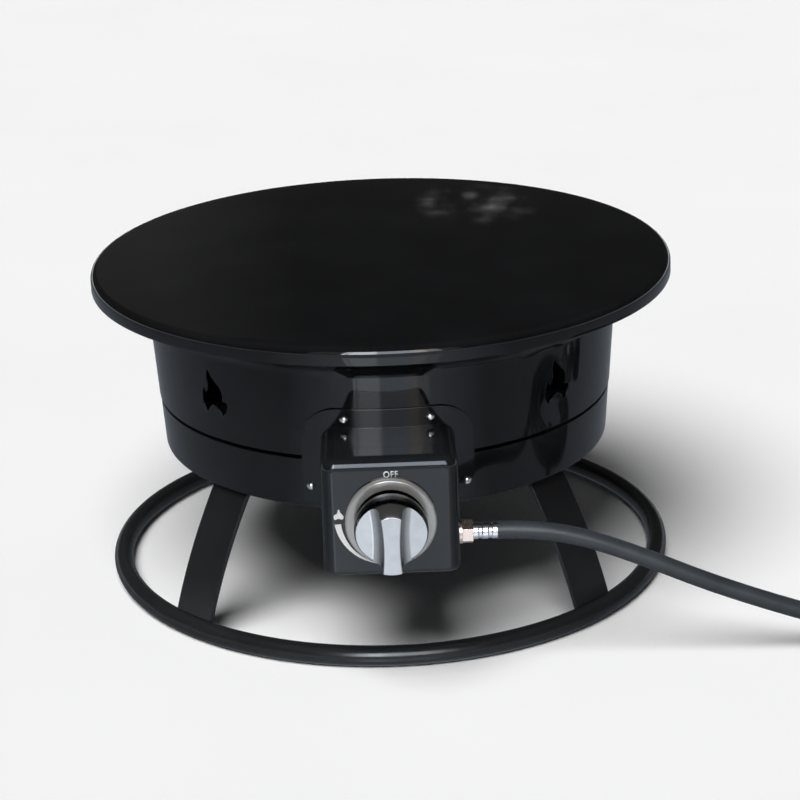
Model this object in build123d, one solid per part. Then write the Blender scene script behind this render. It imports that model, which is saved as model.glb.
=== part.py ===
from build123d import *
import math
import os
import random

# Portable propane fire pit. Millimetres, +Z up, front along -Y, origin on the bowl's axis at floor level.

# Sheet metal and fits
sheet = 1.5
nest_clearance = 0.2
seat_clearance = 0.3
hole_clearance = 0.15
touch_clearance = 0.1
running_clearance = 0.05

# Base ring and legs
ring_radius = 231.2
ring_tube_radius = 8.1
ring_tube_wall = 1.5
ring_floor_flat = 0.3
ring_vent_radius = 2.0
stand_height = 113.0
leg_width = 40.0
leg_thickness = 3.0
leg_tab_length = 50.0
leg_inset = 8.0
leg_bow = 4.0
leg_bend_radius = 4.0
leg_bolt_radius = 3.0
leg_bolt_spacing = 22.0
leg_bolt_edge = 12.0
leg_bolt_head_width = 10.0
leg_bolt_head_height = 3.6
leg_nut_height = 4.6
leg_angles = {"front_left": -135, "front_right": -45, "rear_right": 45, "rear_left": 135}

# Bowl
bowl_floor_radius = 187.3
bowl_corner_radius = 3.0
wall_draft = 3.63
lower_wall_height = 41.5
seam_gap = 3.5
collar_height = 17.0
upper_wall_height = 74.0
upper_wall_proud = 0.5
brim_reach = 36.0
brim_rise = 28.3
brim_bend_radius = 14.0
bead_radius = 4.0
drain_radius = 5.0
drain_circle = 60.0
drain_count = 4

# Flame vents
flame_angles = (-135, -45, 0, 45, 90, 135, 180)
flame_height_above_seam = 36.5
flame_height = 38.5
flame_grid = 38.5

# Lid
lid_overhang = 9.95
lid_crown_rise = 7.0
lid_shoulder_radius = 6.0
lid_lip_depth = 14.0

# Control box
box_depth = 69.37
box_half_width = 52.0
box_top_above_axis = 50.3
box_bottom_below_axis = 45.0
box_edge_radius = 9.0
box_corner_radius = 11.0
box_bottom_radius = 5.0
box_bottom_lip = 9.0
flange_half_width = 67.5
flange_top_above_axis = 66.0
flange_bottom_below_axis = 15.0
flange_corner_radius = 28.0
top_screw_offset = 33.5
top_screw_above_axis = 57.2
side_screw_offset = 61.5
side_screw_below_axis = 1.2
screw_radius = 2.0
screw_head_radius = 3.5
screw_head_height = 2.2
screw_slot_length = 2.6
screw_slot_width = 0.5
screw_length = 8.0

# Bezel and knob
control_above_floor = 21.0
bezel_outer_radius = 34.8
bezel_inner_radius = 26.8
bezel_height = 5.0
bezel_edge = 1.6
bezel_chamfer = 0.6
knob_radius = 28.0
knob_standoff = 13.0
knob_rim = 18.4
knob_rim_ledge = 1.0
knob_front = 37.6
knob_dome_top_radius = 18.2
knob_dome_bulge = 2.9
knob_cheek_foot = 19.0
knob_cheek_tilt = 9.0
knob_bar_half_width = 6.5
knob_bar_draft = 0.4
knob_bar_edge = 1.0
knob_waist_above_foot = 23.0
knob_waist_radius = 182.0
knob_blend_radius = 8.0
knob_socket = 24.0
knob_wall = 2.0
knob_stroke = 4.0
hub_radius = 9.0
hub_standoff = 7.0
hub_disc_thickness = 3.0
clip_thickness = 0.8
clip_width = 5.0
clip_length = 12.0

# Valve
bonnet_radius = 15.0
bonnet_thickness = 5.0
bonnet_ear_offset = 19.0
bonnet_ear_radius = 6.0
chamber_radius = 9.0
chamber_depth = 16.0
valve_wall = 4.0
valve_rear_wall = 7.5
plug_length = 16.0
plug_front_radius = 7.5
plug_rear_radius = 6.5
plug_slot_depth = 6.0
gas_port_radius = 1.8
port_from_plug_front = 10.0
stem_radius = 4.0
stem_flat = 1.2
stem_in_hub = 15.0
stem_collar_radius = 7.0
stem_collar_thickness = 3.0
stem_tang_thickness = 2.4
stem_tang_width = 7.0
stem_tang_engagement = 1.7
washer_radius = 8.6
washer_thickness = 1.0
spring_wire = 1.2
spring_mean_radius = 8.05
spring_turns = 4
small_screw_radius = 1.5
small_screw_head_radius = 2.8
small_screw_head_height = 1.8

# Gas inlet
inlet_drop = 25.0
inlet_pipe_radius = 7.0
inlet_boss_drop = 17.0
inlet_bore_radius = 2.2
inlet_shank_radius = 6.0
inlet_shank_inside = 8.0
inlet_collar_radius = 9.5
inlet_collar_thickness = 2.7
inlet_hex_width = 17.0
inlet_hex_length = 8.3
locknut_height = 4.0
ferrule_radius = 6.5
ferrule_length = 19.0
ferrule_groove_depth = 0.5

# Burner
burner_radius = 95.0
burner_tube_radius = 9.5
burner_tube_wall = 1.2
burner_port_radius = 1.6
burner_port_count = 24
burner_joint_gap = 10.0
burner_tee_wall = 2.0
burner_tee_overlap = 4.0
mixing_tube_radius = 10.2
mixing_tube_wall = 1.2
mixing_tube_outside = 15.0
mixing_tube_entry = 3.0
air_window_width = 8.0
air_window_length = 7.0
shutter_wall = 1.2
shutter_length = 13.0
jet_hex_width = 10.0
jet_hex_length = 5.0
jet_nose_length = 5.0
jet_nose_radius = 3.0
jet_stud_radius = 3.0
jet_stud_length = 4.0
jet_hole_radius = 0.5
bracket_angles = (90, 210, 330)
bracket_width = 16.0
bracket_thickness = 2.0
bracket_foot = 20.0
burner_screw_radius = 2.5
burner_screw_head_radius = 4.5
burner_screw_head_height = 2.6
burner_nut_width = 8.0
burner_nut_height = 3.6

# Lava rocks
rock_radius = 18.9
top_rock_radius = 24.0
top_rock_height = 24.0
top_rock_lean = 0.3
rock_gap = 1.2
rock_seed = 7
rock_sides = 9
rock_side_cuts = 6
rock_side_lean = 24.0
rock_side_depth = (0.72, 0.9)
rock_top_cuts = 4
rock_top_lean = (42.0, 62.0)
rock_top_depth = (-0.02, 0.12)

# Hose
hose_radius = 7.0
coil_pitch = 14.9
coil_turns = 5.25
coil_outer_radius = 98.7
coil_lift = 1.6
coil_centre_x = 454.0
hose_exit_run = 28.0
hose_coil_run = 25.0
hose_route = [
    (150, -226.2, 100.4),
    (195, -227.4, 82.6),
    (240, -228.2, 61.9),
    (285, -228.3, 43.9),
    (330, -227.7, 27.8),
    (366, -226.8, 16.6),
    (394, -226.0, 10.6),
]
hose_tail_length = 52.0
tie_thickness = 1.2
tie_width = 16.0
tie_clearance = 0.3
tie_angle = 180

# Regulator and cylinder connection
regulator_radius = 31.0
regulator_body_height = 30.0
regulator_cover_height = 15.0
regulator_wall = 3.0
regulator_flange = 4.0
regulator_flange_height = 3.0
regulator_screw_count = 6
regulator_screw_radius = 0.75
regulator_screw_head_radius = 1.5
regulator_screw_head_height = 1.0
outlet_boss_radius = 9.0
outlet_boss_length = 10.0
inlet_boss_radius = 11.0
inlet_boss_length = 8.0
vent_radius = 5.0
vent_height = 4.0
nipple_radius = 6.3
nipple_length = 34.0
nipple_collar_radius = 12.0
nipple_collar_length = 3.0
nipple_collar_from_boss = 10.0
nipple_bore_radius = 1.6
seal_wire = 1.6
seal_from_tip = 5.0
nut_radius = 22.6
nut_length = 30.0
nut_bore_radius = 16.7
nut_from_boss = 5.0
nut_grip_count = 10
nut_grip_radius = 3.0

# Heights and places that follow from the sizes above
ring_height = ring_tube_radius - ring_floor_flat
floor_z = stand_height
floor_top_z = floor_z + sheet
seam_z = floor_z + lower_wall_height
upper_foot_z = seam_z + seam_gap
brim_foot_z = upper_foot_z + upper_wall_height
bead_z = brim_foot_z + brim_rise
control_z = floor_z + control_above_floor
slope = math.tan(math.radians(wall_draft))
box_projection = bowl_floor_radius + control_above_floor * slope + box_depth
panel_y = -box_projection
panel_back_y = panel_y + sheet
bonnet_back_y = panel_back_y + bonnet_thickness
chamber_end_y = bonnet_back_y + chamber_depth
plug_front_y = chamber_end_y + 2 * running_clearance
plug_rear_y = plug_front_y + plug_length
valve_rear_y = plug_rear_y + valve_rear_wall
inlet_y = plug_front_y + port_from_plug_front
inlet_z = control_z - inlet_drop
ferrule_x = box_half_width + inlet_collar_thickness + inlet_hex_length
hose_x = ferrule_x + ferrule_length


def outer_radius(z):
    """Outside radius of the tapered bowl at a height."""
    return bowl_floor_radius + (z - floor_z) * slope


def upper_radius(z):
    """Outside radius of the upper wall, which stands a little proud of the lower bowl."""
    return outer_radius(z) + upper_wall_proud


def collar_radius(z):
    """Outside radius of the lower bowl's collar, nested inside the upper wall."""
    return upper_radius(z) - sheet - nest_clearance


brim_radius = upper_radius(brim_foot_z)
bead_circle = brim_radius + brim_reach
lid_radius = bead_circle + lid_overhang


def polygon(points):
    return make_face(Polyline(*points, close=True))


def turned_z(outline):
    """Solid turned about Z from an outline of (radius, height) points."""
    return revolve(Plane.XZ * outline, axis=Axis.Z)


def turned(points):
    """Solid turned about X from (along, radius) points."""
    return revolve(polygon(points), axis=Axis.X)


def rod(start, end, radius, bore=0):
    """Round bar or tube along X."""
    return turned([(start, bore), (end, bore), (end, radius), (start, radius)])


def hexagon(start, end, width, bore=0):
    """Hexagonal bar along X, measured across its flats."""
    bar = extrude(RegularPolygon(width / math.sqrt(3), 6), amount=end - start)
    bar = Pos(start, 0, 0) * Rot(0, 90, 0) * bar
    if bore:
        bar -= rod(start, end, bore)
    return bar


def on_control_axis(piece):
    """Turns a piece made along X so that it lies along Y on the knob's axis."""
    return Pos(0, 0, control_z) * Rot(0, 0, 90) * piece


def upright(piece):
    """Turns a piece made along X so that it stands along Z."""
    return Rot(0, -90, 0) * piece


def round_places(angles, radius):
    """Places round the bowl's axis."""
    places = []
    for angle in angles:
        turn = math.radians(angle)
        places.append((radius * math.cos(turn), radius * math.sin(turn)))
    return places


def lid():
    reach = lid_radius - lid_shoulder_radius
    crown_radius = (reach**2 + lid_crown_rise**2) / (2 * lid_crown_rise)
    shoulder_start = reach / (1 - lid_shoulder_radius / crown_radius)
    tilt = math.asin(shoulder_start / crown_radius)

    def sag(r):
        return crown_radius - math.sqrt(crown_radius**2 - r**2)

    bead_top = bead_z + bead_radius
    apex_z = bead_top + seat_clearance + sheet + sag(bead_circle)
    crown_z = apex_z - crown_radius
    shoulder_z = apex_z - sag(shoulder_start) - lid_shoulder_radius * math.cos(tilt)
    lip_z = shoulder_z + lid_shoulder_radius - lid_lip_depth

    def curve(inset):
        radius = crown_radius - inset
        corner = lid_shoulder_radius - inset
        start = (0, crown_z + radius)
        half = (radius * math.sin(tilt / 2), crown_z + radius * math.cos(tilt / 2))
        end = (radius * math.sin(tilt), crown_z + radius * math.cos(tilt))
        middle = (tilt + math.pi / 2) / 2
        bend = (reach + corner * math.sin(middle), shoulder_z + corner * math.cos(middle))
        side = (reach + corner, shoulder_z)
        foot = (reach + corner, lip_z)
        lines = [ThreePointArc(start, half, end), ThreePointArc(end, bend, side), Line(side, foot)]
        return lines, start, foot

    outside, top, outer_foot = curve(0)
    inside, under, inner_foot = curve(sheet)
    edges = [*outside, *inside, Line(outer_foot, inner_foot), Line(under, top)]
    return turned_z(make_face(edges))


def flame_outline():
    """Outline of one vent, seen from outside, about its middle, drawn on a grid flame_grid squares tall."""
    points = {
        "tip": (-4, 23),
        "brow": (0.5, 15.5),
        "cheek": (7, 10),
        "side": (9.8, 4.5),
        "armpit": (9.5, -2.5),
        "lobe": (14.4, -3.2),
        "lobe_side": (13.2, -10.5),
        "lobe_foot": (8, -15.5),
        "arch_right": (5, -10.5),
        "arch": (-1, -7.5),
        "arch_left": (-5.5, -10.5),
        "left_foot": (-9, -15.5),
        "bulge": (-13.6, -9),
        "bulge_top": (-14.2, -3),
        "curl": (-13, 2),
        "spike": (-10.6, 6),
        "nick": (-9, 1.5),
        "neck": (-6.2, 7),
        "neck_top": (-6.8, 13),
        "back": (-6.2, 18.5),
    }
    square = flame_height / flame_grid
    at = {name: (x * square, z * square) for name, (x, z) in points.items()}
    return make_face(
        [
            ThreePointArc(at["tip"], at["brow"], at["cheek"]),
            ThreePointArc(at["cheek"], at["side"], at["armpit"]),
            Line(at["armpit"], at["lobe"]),
            ThreePointArc(at["lobe"], at["lobe_side"], at["lobe_foot"]),
            ThreePointArc(at["lobe_foot"], at["arch_right"], at["arch"]),
            ThreePointArc(at["arch"], at["arch_left"], at["left_foot"]),
            ThreePointArc(at["left_foot"], at["bulge"], at["bulge_top"]),
            ThreePointArc(at["bulge_top"], at["curl"], at["spike"]),
            Line(at["spike"], at["nick"]),
            ThreePointArc(at["nick"], at["neck"], at["neck_top"]),
            ThreePointArc(at["neck_top"], at["back"], at["tip"]),
        ]
    )


def flame_cutters():
    outline = flame_outline()
    height = upper_foot_z + flame_height_above_seam
    inner = bowl_floor_radius / 2
    outer = bead_circle
    cutters = []
    for angle in flame_angles:
        turn = math.radians(angle)
        outward = (math.cos(turn), math.sin(turn), 0)
        sideways = (-math.sin(turn), math.cos(turn), 0)
        place = Plane((inner * outward[0], inner * outward[1], height), sideways, outward)
        cutters.append(extrude(place * outline, amount=outer - inner))
    return cutters


def screw_planes():
    """Where the flange's screws sit: (plane with its normal out of the wall, whether on the upper wall)."""
    tilt = math.radians(wall_draft)
    planes = []
    for side in (-1, 1):
        for offset, z, upper in (
            (top_screw_offset, control_z + top_screw_above_axis, True),
            (side_screw_offset, control_z - side_screw_below_axis, False),
        ):
            reach = upper_radius(z) + touch_clearance + sheet + touch_clearance
            turn = math.asin(offset / reach) * side
            flat = math.cos(tilt)
            out = (math.sin(turn) * flat, -math.cos(turn) * flat, -math.sin(tilt))
            spot = (reach * math.sin(turn), -reach * math.cos(turn), z)
            planes.append((Plane(spot, z_dir=out), upper))
    return planes


def screw_holes(upper):
    """Cutters for the flange screws on one shell, or on both when upper is None."""
    cutter = upright(rod(-screw_length - sheet, screw_length, screw_radius + hole_clearance))
    return [plane * cutter for plane, high in screw_planes() if upper is None or high == upper]


def upper_wall():
    foot = (upper_radius(upper_foot_z), upper_foot_z)
    knee = (brim_radius, brim_foot_z)
    rim = (bead_circle, bead_z)
    wall = strip([foot, knee, rim], [brim_bend_radius], sheet, sheet / 2)
    bead = Pos(*rim) * Circle(bead_radius)
    shell = turned_z(wall + bead)
    for cutter in flame_cutters() + screw_holes(True):
        shell -= cutter
    return shell


def strip(points, radii, thickness, shift=0):
    """Flat outline of a bent sheet along points, with a bend radius at each inner point.
    A positive shift moves the sheet's middle line to the left of its direction."""

    def moved(offset):
        found = []
        for i, point in enumerate(points):
            normals = []
            for a, b in ((i - 1, i), (i, i + 1)):
                if a >= 0 and b < len(points):
                    dx = points[b][0] - points[a][0]
                    dy = points[b][1] - points[a][1]
                    size = math.hypot(dx, dy)
                    normals.append((-dy / size, dx / size))
            nx = sum(n[0] for n in normals)
            ny = sum(n[1] for n in normals)
            reach = offset / (nx * normals[0][0] + ny * normals[0][1])
            found.append((point[0] + nx * reach, point[1] + ny * reach))
        return found

    def bend(i, offset):
        ax = points[i][0] - points[i - 1][0]
        ay = points[i][1] - points[i - 1][1]
        bx = points[i + 1][0] - points[i][0]
        by = points[i + 1][1] - points[i][1]
        left_turn = ax * by - ay * bx > 0
        return radii[i - 1] + (-offset if left_turn else offset)

    sides = []
    for offset in (shift + thickness / 2, shift - thickness / 2):
        corners = [bend(i, offset) for i in range(1, len(points) - 1)]
        sides.append((moved(offset), corners))
    lines = []
    for line, corners in sides:
        lines += FilletPolyline(*line, radius=corners).edges()
    lines.append(Line(sides[0][0][0], sides[1][0][0]))
    lines.append(Line(sides[0][0][-1], sides[1][0][-1]))
    return make_face(lines)


def leg_bolt_places():
    reaches = [leg_tab_inner + leg_bolt_edge, leg_tab_inner + leg_bolt_edge + leg_bolt_spacing]
    return [spot for reach in reaches for spot in round_places(leg_angles.values(), reach)]


leg_shoulder = bowl_floor_radius - leg_inset
leg_tab_inner = leg_shoulder - leg_tab_length


def burner_bolt_places():
    return round_places(bracket_angles, bracket_inner + bracket_thickness + bracket_foot / 2)


bracket_inner = burner_radius + burner_tube_radius + touch_clearance


def lower_bowl():
    inner_foot = outer_radius(floor_top_z) - sheet
    under_seam = seam_z - sheet
    collar_top = seam_z + collar_height
    outline = polygon(
        [
            (0, floor_z),
            (bowl_floor_radius, floor_z),
            (outer_radius(seam_z), seam_z),
            (collar_radius(seam_z), seam_z),
            (collar_radius(collar_top), collar_top),
            (collar_radius(collar_top) - sheet, collar_top),
            (collar_radius(under_seam) - sheet, under_seam),
            (outer_radius(under_seam) - sheet, under_seam),
            (inner_foot, floor_top_z),
            (0, floor_top_z),
        ]
    )
    for spot, radius in (
        ((bowl_floor_radius, floor_z), bowl_corner_radius),
        ((inner_foot, floor_top_z), bowl_corner_radius - sheet),
    ):
        corner = outline.vertices().sort_by_distance((*spot, 0))[0]
        outline = fillet(corner, radius)
    bowl = turned_z(outline)
    for x, y in leg_bolt_places():
        bowl -= Pos(x, y, floor_z) * upright(rod(-sheet, 2 * sheet, leg_bolt_radius + hole_clearance))
    for x, y in burner_bolt_places():
        bowl -= Pos(x, y, floor_z) * upright(rod(-sheet, 2 * sheet, burner_screw_radius + hole_clearance))
    drains = [45 + 360 / drain_count * i for i in range(drain_count)]
    for x, y in round_places(drains, drain_circle):
        bowl -= Pos(x, y, floor_z) * upright(rod(-sheet, 2 * sheet, drain_radius))
    entry = rod(-bead_circle, -burner_radius, mixing_tube_radius + touch_clearance)
    bowl -= on_control_axis(entry)
    for cutter in screw_holes(False):
        bowl -= cutter
    return bowl


def base_ring():
    ring = Torus(ring_radius, ring_tube_radius) - Torus(ring_radius, ring_tube_radius - ring_tube_wall)
    ring = Pos(0, 0, ring_height) * ring
    size = 3 * ring_radius
    ring -= Pos(0, 0, -size / 2) * Box(size, size, size)
    vent = rod(ring_radius - 2 * ring_tube_radius, ring_radius - ring_tube_wall, ring_vent_radius)
    return ring - Pos(0, 0, ring_height) * Rot(0, 0, 90) * vent


def leg(angle):
    shoulder = (leg_shoulder, floor_z)
    foot = (ring_radius, ring_height)
    chord = math.dist(shoulder, foot)
    bow_radius = ((chord / 2) ** 2 + leg_bow**2) / (2 * leg_bow)
    along = ((foot[0] - shoulder[0]) / chord, (foot[1] - shoulder[1]) / chord)
    out = (-along[1], along[0])
    middle = ((shoulder[0] + foot[0]) / 2, (shoulder[1] + foot[1]) / 2)
    back = bow_radius - leg_bow
    centre = (middle[0] - out[0] * back, middle[1] - out[1] * back)

    def at_height(radius, z):
        return (centre[0] + math.sqrt(radius**2 - (z - centre[1]) ** 2), z)

    inner_radius = bow_radius - leg_thickness
    tab_under = floor_z - leg_thickness
    outer_top = at_height(bow_radius, floor_z)
    outer_half = at_height(bow_radius, (floor_z + ring_height) / 2)
    outer_foot = at_height(bow_radius, ring_height)
    inner_top = at_height(inner_radius, tab_under)
    inner_half = at_height(inner_radius, (tab_under + ring_height) / 2)
    inner_foot = at_height(inner_radius, ring_height)
    outline = make_face(
        [
            Line((leg_tab_inner, floor_z), outer_top),
            ThreePointArc(outer_top, outer_half, outer_foot),
            Line(outer_foot, inner_foot),
            ThreePointArc(inner_foot, inner_half, inner_top),
            Line(inner_top, (leg_tab_inner, tab_under)),
            Line((leg_tab_inner, tab_under), (leg_tab_inner, floor_z)),
        ]
    )
    for spot, radius in ((outer_top, leg_bend_radius + leg_thickness), (inner_top, leg_bend_radius)):
        corner = outline.vertices().sort_by_distance((*spot, 0))[0]
        outline = fillet(corner, radius)
    strap = extrude(Plane.XZ * outline, amount=leg_width / 2, both=True)
    strap -= Pos(0, 0, ring_height) * Torus(ring_radius, ring_tube_radius + touch_clearance)
    for reach in (leg_bolt_edge, leg_bolt_edge + leg_bolt_spacing):
        hole = upright(rod(-2 * leg_thickness, leg_thickness, leg_bolt_radius + hole_clearance))
        strap -= Pos(leg_tab_inner + reach, 0, floor_z) * hole
    return Rot(0, 0, angle) * strap


def leg_bolts():
    head_z = floor_z - leg_thickness
    top = floor_top_z + leg_nut_height + sheet
    bolt = hexagon(head_z - leg_bolt_head_height, head_z, leg_bolt_head_width)
    bolt += rod(head_z, top, leg_bolt_radius)
    return Compound([Pos(x, y, 0) * upright(bolt) for x, y in leg_bolt_places()])


def leg_nuts():
    nut = hexagon(
        floor_top_z, floor_top_z + leg_nut_height, leg_bolt_head_width, leg_bolt_radius + touch_clearance
    )
    return Compound([Pos(x, y, 0) * upright(nut) for x, y in leg_bolt_places()])


def rounded_box(inset):
    """The control box as a solid, drawn in on every side by inset."""
    half = box_half_width - inset
    top = control_z + box_top_above_axis - inset
    bottom = control_z - box_bottom_below_axis + inset
    outline = polygon([(-half, bottom), (half, bottom), (half, top), (-half, top)])
    upper = outline.vertices().sort_by(Axis.Y)[-2:]
    outline = fillet(upper, box_corner_radius - inset)
    box = extrude(Plane.XZ * outline, amount=box_projection - inset)
    front = box.faces().sort_by(Axis.Y)[0]
    box = fillet(front.edges().sort_by(Axis.Z)[1:], box_edge_radius - inset)
    under = box.faces().sort_by(Axis.Z)[0]
    back_edge = under.edges().sort_by(Axis.Y)[-1]
    bottom_edges = [edge for edge in under.edges() if edge != back_edge]
    return fillet(bottom_edges, box_bottom_radius - inset)


def drum_solid(low, high, offset):
    """Tapered solid of the upper wall's line, pushed out by offset."""
    low_radius = upper_radius(low) + offset
    high_radius = upper_radius(high) + offset
    return turned_z(polygon([(0, low), (low_radius, low), (high_radius, high), (0, high)]))


def control_box():
    top = control_z + flange_top_above_axis
    low = control_z - flange_bottom_below_axis
    box_bottom = control_z - box_bottom_below_axis
    half = flange_half_width
    outline = polygon([(-half, low), (half, low), (half, top), (-half, top)])
    outline = fillet(outline.vertices().sort_by(Axis.Y)[-2:], flange_corner_radius)
    flange = drum_solid(low, top, touch_clearance + sheet) & extrude(
        Plane.XZ * outline, amount=box_projection
    )
    inside = rounded_box(sheet)
    shell = rounded_box(0) + flange - inside
    shell -= drum_solid(box_bottom - sheet, top + sheet, touch_clearance)
    mouth_half = box_half_width - box_bottom_lip
    mouth_depth = box_projection - box_bottom_lip
    front_at_origin = (Align.CENTER, Align.MAX, Align.CENTER)
    mouth = Box(2 * mouth_half, mouth_depth, 2 * box_bottom_radius, align=front_at_origin)
    shell -= Pos(0, 0, box_bottom) * mouth
    for cutter in screw_holes(None):
        shell -= cutter
    shell -= on_control_axis(rod(panel_y - sheet, panel_back_y + sheet, stem_radius + seat_clearance))
    for side in (-1, 1):
        hole = rod(panel_y - sheet, panel_back_y + sheet, small_screw_radius + hole_clearance)
        shell -= Pos(side * bonnet_ear_offset, 0, 0) * on_control_axis(hole)
    side_hole = rod(
        box_half_width - 2 * sheet, box_half_width + sheet, inlet_shank_radius + hole_clearance
    )
    shell -= Pos(0, inlet_y, inlet_z) * side_hole
    return shell


def panel_screws():
    head = make_face(
        [
            Line((0, 0), (0, screw_head_radius)),
            ThreePointArc(
                (0, screw_head_radius),
                (screw_head_height * 0.75, screw_head_radius * 0.7),
                (screw_head_height, 0),
            ),
            Line((screw_head_height, 0), (0, 0)),
        ]
    )
    screw = revolve(head, axis=Axis.X) + rod(-screw_length, 0, screw_radius)
    slot = Box(screw_head_height, screw_slot_length, screw_slot_width)
    cross = Pos(screw_head_height, 0, 0) * (slot + Rot(90, 0, 0) * slot)
    screw -= cross
    return Compound([plane * upright(screw) for plane, _ in screw_planes()])


def control_bezel():
    bend = bezel_edge * (1 - math.sqrt(0.5))
    crest = bezel_outer_radius - bezel_edge
    lip = bezel_inner_radius + bezel_chamfer
    outline = make_face(
        [
            Line((0, bezel_inner_radius), (0, bezel_outer_radius)),
            Line((0, bezel_outer_radius), (-bezel_height + bezel_edge, bezel_outer_radius)),
            ThreePointArc(
                (-bezel_height + bezel_edge, bezel_outer_radius),
                (-bezel_height + bend, bezel_outer_radius - bend),
                (-bezel_height, crest),
            ),
            Line((-bezel_height, crest), (-bezel_height, lip)),
            Line((-bezel_height, lip), (-bezel_height + bezel_chamfer, bezel_inner_radius)),
            Line((-bezel_height + bezel_chamfer, bezel_inner_radius), (0, bezel_inner_radius)),
        ]
    )
    return Pos(0, panel_y, 0) * on_control_axis(revolve(outline, axis=Axis.X))


knob_back_y = panel_y - knob_standoff
knob_rim_y = panel_y - knob_rim
knob_front_y = panel_y - knob_front
knob_socket_y = panel_y - knob_socket
hub_back_y = panel_y - hub_standoff


def knob_dome(inset):
    """The knob's skirt and flat-topped dome as one solid, drawn in by inset."""
    skirt = knob_radius - inset
    rim_y = knob_rim_y + inset
    front_y = knob_front_y + inset
    base = skirt - knob_rim_ledge
    top = knob_dome_top_radius - inset
    bulge = ((rim_y + front_y) / 2, (base + top) / 2 + knob_dome_bulge)
    outline = make_face(
        [
            Line((knob_back_y, 0), (knob_back_y, skirt)),
            Line((knob_back_y, skirt), (rim_y, skirt)),
            Line((rim_y, skirt), (rim_y, base)),
            ThreePointArc((rim_y, base), bulge, (front_y, top)),
            Line((front_y, top), (front_y, 0)),
            Line((front_y, 0), (knob_back_y, 0)),
        ]
    )
    return on_control_axis(revolve(outline, axis=Axis.X))


def knob_shell():
    reach = 3 * knob_radius
    side = knob_bar_half_width
    shoulder = side - knob_bar_draft

    # What a cutter takes off beside the grip bar: the tilted cheek, its blend and the bar's waisted flank
    foot = side + knob_blend_radius
    corner = knob_blend_radius * (1 - math.sqrt(0.5))
    cutter = make_face(
        [
            Line((reach, -reach), (reach, 0)),
            Line((reach, 0), (foot, 0)),
            ThreePointArc((foot, 0), (side + corner, -corner), (side, -knob_blend_radius)),
            Line((side, -knob_blend_radius), (shoulder, -reach)),
            Line((shoulder, -reach), (reach, -reach)),
        ]
    )
    centre = Axis((side + knob_waist_radius, 0, 0), (0, 1, 0))
    swing = math.degrees(math.asin(2 * knob_radius / knob_waist_radius))
    cutter = revolve(cutter.rotate(centre, -swing), axis=centre, revolution_arc=2 * swing)
    on_cheeks = Pos(0, panel_y - knob_cheek_foot, control_z - knob_radius) * Rot(knob_cheek_tilt, 0, 0)
    cutter = on_cheeks * Pos(0, 0, knob_waist_above_foot) * cutter

    bar = on_control_axis(rod(knob_front_y, knob_rim_y, knob_radius))
    bar &= Pos(0, knob_rim_y, control_z) * Box(
        2 * foot, 2 * reach, reach, align=(Align.CENTER, Align.CENTER, Align.MAX)
    )
    body = (knob_dome(0) + bar) - cutter - mirror(cutter, about=Plane.YZ)
    behind = Box(2 * reach, reach, 2 * reach, align=(Align.CENTER, Align.MIN, Align.CENTER))
    hollow = knob_dome(knob_wall) & (on_cheeks * Pos(0, knob_wall, 0) * behind)
    back_rim = body.edges().filter_by(GeomType.CIRCLE).group_by(Axis.Y)[-1]
    body = chamfer(back_rim, knob_wall / 4)
    flanks = body.edges().filter_by_position(Axis.Y, knob_front_y - 0.1, knob_front_y + 0.1)
    flanks = [edge for edge in flanks if abs(edge.center().X) > side - knob_bar_draft - knob_bar_edge]
    body = fillet(flanks, knob_bar_edge)
    return body - hollow - on_control_axis(rod(knob_socket_y, knob_back_y, hub_radius + touch_clearance))


def d_section(radius, flat):
    """Round section with one flat on top, for the stem and its socket."""
    cut = Pos(0, 2 * radius - flat) * Rectangle(4 * radius, 2 * radius)
    return Circle(radius) - cut


def knob_hub():
    hub = rod(knob_socket_y, hub_back_y, hub_radius)
    hub += rod(knob_back_y - hub_disc_thickness, knob_back_y, knob_radius - knob_wall - touch_clearance)
    hub = on_control_axis(hub)
    socket = Plane.XZ * d_section(stem_radius + touch_clearance, stem_flat)
    socket = extrude(socket, amount=stem_in_hub + seat_clearance)
    hub -= Pos(0, hub_back_y, control_z) * socket
    clip_room = Box(
        clip_width + 2 * touch_clearance,
        clip_length + 2 * touch_clearance,
        clip_thickness + 2 * touch_clearance,
    )
    return hub - Pos(0, clip_y, clip_z) * clip_room


clip_y = hub_back_y - stem_in_hub / 2
clip_z = control_z + stem_radius - stem_flat + 2 * touch_clearance + clip_thickness / 2


def knob_clip():
    """Leaf of spring steel on the stem's flat, inside the hub."""
    return Pos(0, clip_y, clip_z) * Box(clip_width, clip_length, clip_thickness)


collar_front_y = bonnet_back_y + seat_clearance
collar_back_y = collar_front_y + stem_collar_thickness
washer_back_y = collar_back_y + touch_clearance + washer_thickness
tang_end_y = plug_front_y + stem_tang_engagement


def valve_stem():
    stem = extrude(Plane.XZ * d_section(stem_radius, stem_flat), amount=stem_in_hub)
    stem = Pos(0, hub_back_y, control_z) * stem
    stem += on_control_axis(rod(hub_back_y, collar_front_y, stem_radius))
    stem += on_control_axis(rod(collar_front_y, collar_back_y, stem_collar_radius))
    shank_end = plug_front_y - knob_stroke - seat_clearance
    stem += on_control_axis(rod(collar_back_y, shank_end, stem_radius))
    tang = Box(
        stem_tang_thickness,
        tang_end_y - collar_back_y,
        stem_tang_width,
        align=(Align.CENTER, Align.MIN, Align.CENTER),
    )
    return stem + Pos(0, collar_back_y, control_z) * tang


def thrust_washer():
    front = collar_back_y + touch_clearance
    return on_control_axis(rod(front, washer_back_y, washer_radius, stem_radius + seat_clearance))


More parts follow.
